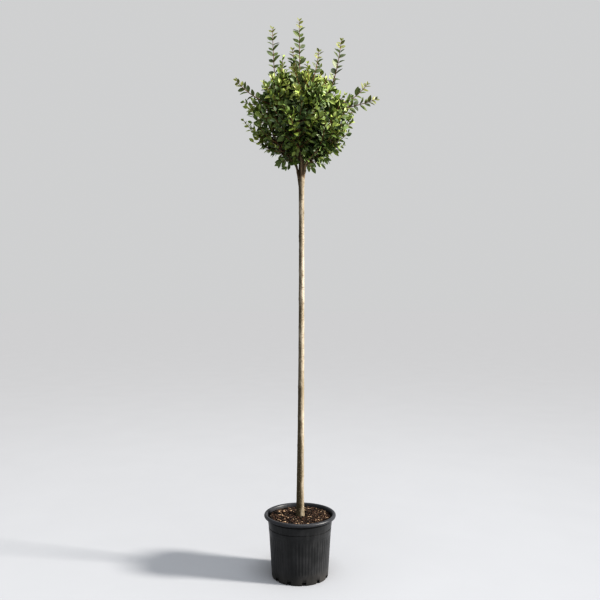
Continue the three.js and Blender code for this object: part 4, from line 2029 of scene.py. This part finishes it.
    def add_leaf(self, knot: Knot, hand: Vector) -> None:
        """Sets one leaf on a joint, unless it would leave the head's outline.

        Args:
            knot: The joint.
            hand: The side of the twig that the leaf grows on.
        """
        loose = knot.looseness
        usual = self.tip_spread if knot.last else self.spread
        spread = usual * (1 + self.stray(self.spread_stray) * loose)
        sink = self.droop * smoothstep(*self.droop_rise, self.head.share_of(knot.spot.z))
        way = (swung(knot.tangent, hand, spread) - UP * sink).normalized()
        length = self.leaf.length * knot.size * (1 + self.stray(0.5) * self.leaf.variety)
        if not knot.free and not self.inside(knot.spot + way * length * self.held):
            return
        sway = Vector([self.dice.gauss(0, 1) for _ in range(3)])
        face = knot.tangent * self.face_tangent + UP * self.face_up
        face = face + knot.facing * self.face_out + sway * self.face_sway * loose
        self.leaves[knot.tint].append(Leaf(knot.spot, way, face, length, self.dice.random(), loose))

    def add_side_twig(self, node: Vector, tangent: Vector, hand: Vector, tint: Tint) -> None:
        """Grows a short leafy side twig out of a leaf's axil, unless it would leave the head's outline.

        Args:
            node: The joint that it grows from.
            tangent: Direction of the main twig there.
            hand: The side of that twig that it grows on.
            tint: The green of its leaves.
        """
        lean = math.radians(self.dice.uniform(*self.side_lean))
        away = swung(tangent, hand, lean)
        length = self.dice.uniform(*self.side_length)
        end = node + away * length + UP * length * self.dice.uniform(*self.side_lift)
        if self.inside(end):
            self.add_twig(Bow(node, node + away * length * 0.5, end), SIDE_TWIG, tint, False)

    def add_spurs(self, mass: Mass) -> None:
        """Sets short leafy spurs along the upper part of a bough.

        Args:
            mass: The mass that the bough carries.
        """
        bough = mass.bough()
        for _ in range(self.spurs):
            share = self.dice.uniform(self.spur_from, 1.0)
            node, tangent = mass.bough_point(share), bough.tangent(share)
            turn = self.dice.uniform(0, math.tau)
            away = swung(*cross_frame(tangent, sideways(tangent)), turn) + tangent * self.spur_lean
            end = node + away.normalized() * self.dice.uniform(*self.spur_length)
            if end.z > self.head.bottom:
                curve = Bow(node, node.lerp(end, 0.5) + UP * self.spur_arch, end)
                self.add_twig(curve, SPUR, Tint.DARK, True)

    def grow(self) -> None:
        """Grows the whole head: sprays, shoots and the spurs on the boughs."""
        masses = self.limbs.masses()

        def curve_to(spot: Vector) -> Bow:
            """The curve of a twig to a point, from the stem of the nearest mass."""
            home = min(masses, key=lambda mass: (mass.centre - spot).length)
            return self.twig_curve(home.stem(), spot)

        for layer in self.layers:
            for spot in self.targets(layer):
                self.add_twig(curve_to(spot), layer.kind, self.spray_tint(spot), False)
        for spot in map(Vector, self.shoot_tips):
            way = 1.0 if spot.y > self.back_from else -1.0
            open_side = Vector((0.0, way * self.open_strength, 0.0))
            self.add_twig(curve_to(spot), LONG_SHOOT, Tint.SHOOT, True, open_side)
        for tips, kind in ((self.short_tips(), SHORT_SHOOT), (self.crest_tips(), CREST_SHOOT)):
            for spot in tips:
                self.add_twig(curve_to(spot), kind, self.spray_tint(spot), True)
        for mass in masses:
            self.add_spurs(mass)

    def build(self) -> list[bpy.types.Object]:
        """Grows and dresses the head.

        Returns:
            The pieces.
        """
        self.grow()
        nodes = packed_nodes("foliage_")
        pieces = [place_piece("twigs", self.twig_mesh(), TwigBark(), nodes)]
        for tint, leaves in self.leaves.items():
            mesh = self.leaf.mesh(f"leaves_{tint.name.lower()}", leaves)
            pieces.append(place_piece(mesh.name, mesh, LeafGloss(tint), nodes))
        return pieces

    def twig_mesh(self) -> bpy.types.Mesh:
        """All the twigs as one mesh of slim tubes.

        Returns:
            The mesh.
        """
        sides = np.arange(self.twig_sides)
        angles = sides * math.tau / self.twig_sides
        circle = np.stack([np.cos(angles), np.sin(angles)], axis=1)
        points, faces, count = [], [], 0
        for line, kind in self.twigs:
            for place, (centre, across, upright) in enumerate(rings_along(line)):
                radius = lerp(kind.foot, kind.tip, place / (len(line) - 1))
                points.append(np.array(centre) + radius * circle @ np.array((across, upright)))
            starts = count + self.twig_sides * np.arange(len(line) - 1)[:, None]
            here, turned = starts + sides, starts + (sides + 1) % self.twig_sides
            above = (turned + self.twig_sides, here + self.twig_sides)
            faces.append(np.stack([here, turned, *above], axis=2).reshape(-1, 4))
            count += self.twig_sides * len(line)
        return mesh_from_arrays("twigs", np.concatenate(points), np.concatenate(faces))


# Studio


@dataclass
class Studio(Assembly):
    """Plain pale floor, soft light from the right and the camera at the photograph's angle."""

    floor_radius: float = 60.0
    floor_sides: int = 96
    camera_place: Spot = (0.0, -2.713, 1.113)
    lens: float = 40.14
    sensor: float = 36.0
    sky: Colour = (0.95, 0.955, 0.96)
    sky_strength: float = 0.5
    key_way: Spot = (0.893, -0.2, 0.39)
    key_width: float = math.radians(8)
    key_power: float = 5.4
    key_colour: Colour = (1.0, 0.95, 0.88)
    top_place: Spot = (0.4, -1.0, 4.5)
    top_aim: Spot = (0.0, 0.0, 1.6)
    top_size: float = 2.4
    top_power: float = 78.0
    top_colour: Colour = (0.95, 0.97, 1.0)

    def build(self) -> list[bpy.types.Object]:
        """Sets the floor, the lights and the camera.

        Returns:
            The floor.
        """
        floor = self.lay_floor()
        self.hang_key()
        self.hang_top()
        self.set_sky()
        self.set_camera()
        grade = bpy.context.scene.view_settings
        grade.view_transform = "Standard"
        grade.look = "High Contrast"
        return [floor]

    def lay_floor(self) -> bpy.types.Object:
        """Lays the floor as one wide disc.

        Returns:
            The floor.
        """
        shape = bmesh.new()
        bmesh.ops.create_circle(shape, cap_ends=True, segments=self.floor_sides, radius=self.floor_radius)
        floor = bpy.data.objects.new("floor", mesh_from(shape, "floor"))
        floor.data.materials.append(StudioPaper().material())
        bpy.context.scene.collection.objects.link(floor)
        return floor

    @staticmethod
    def hang(lamp: bpy.types.Light, back: Vector) -> bpy.types.Object:
        """Hangs a lamp.

        Args:
            lamp: The lamp.
            back: The way that its back faces.

        Returns:
            The lamp's holder.
        """
        holder = bpy.data.objects.new(lamp.name, lamp)
        holder.rotation_euler = back.to_track_quat("Z", "Y").to_euler()
        bpy.context.scene.collection.objects.link(holder)
        return holder

    def hang_key(self) -> None:
        """Hangs the soft key light, far off to the right and a little in front."""
        lamp = bpy.data.lights.new("key", "SUN")
        lamp.angle, lamp.energy, lamp.color = self.key_width, self.key_power, self.key_colour
        self.hang(lamp, Vector(self.key_way))

    def hang_top(self) -> None:
        """Hangs a wide, weak light over the plant."""
        lamp = bpy.data.lights.new("top", "AREA")
        lamp.shape, lamp.size = "SQUARE", self.top_size
        lamp.energy, lamp.color = self.top_power, self.top_colour
        holder = self.hang(lamp, Vector(self.top_place) - Vector(self.top_aim))
        holder.location = self.top_place
        holder.visible_camera = False

    def set_sky(self) -> None:
        """Fills the room with even, pale light."""
        world = bpy.data.worlds.new("studio")
        world.use_nodes = True
        glow = world.node_tree.nodes["Background"]
        glow.inputs["Color"].default_value = (*self.sky, 1.0)
        glow.inputs["Strength"].default_value = self.sky_strength
        bpy.context.scene.world = world

    def set_camera(self) -> None:
        """Sets the level camera in front of the plant."""
        camera = bpy.data.cameras.new("camera")
        camera.lens, camera.sensor_width = self.lens, self.sensor
        holder = bpy.data.objects.new("camera", camera)
        holder.location = self.camera_place
        holder.rotation_euler = (math.pi / 2, 0.0, 0.0)
        bpy.context.scene.collection.objects.link(holder)
        bpy.context.scene.camera = holder


def report(piece: bpy.types.Object) -> None:
    """Logs a finished piece and how many triangles it has."""
    piece.data.calc_loop_triangles()
    log.info("%s: %d triangles", piece.name, len(piece.data.loop_triangles))


def main() -> None:
    """Builds the plant from the pot up, then the studio round it, and reports each piece."""
    logging.basicConfig(level=logging.INFO, format="%(name)s: %(message)s")
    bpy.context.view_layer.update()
    pot = Pot()
    stem = Stem()
    limbs = Limbs(stem)
    for assembly in (pot, Soil(pot), stem, limbs, Crown(limbs), Studio()):
        for piece in assembly.build():
            report(piece)


if __name__ == "__main__":
    main()
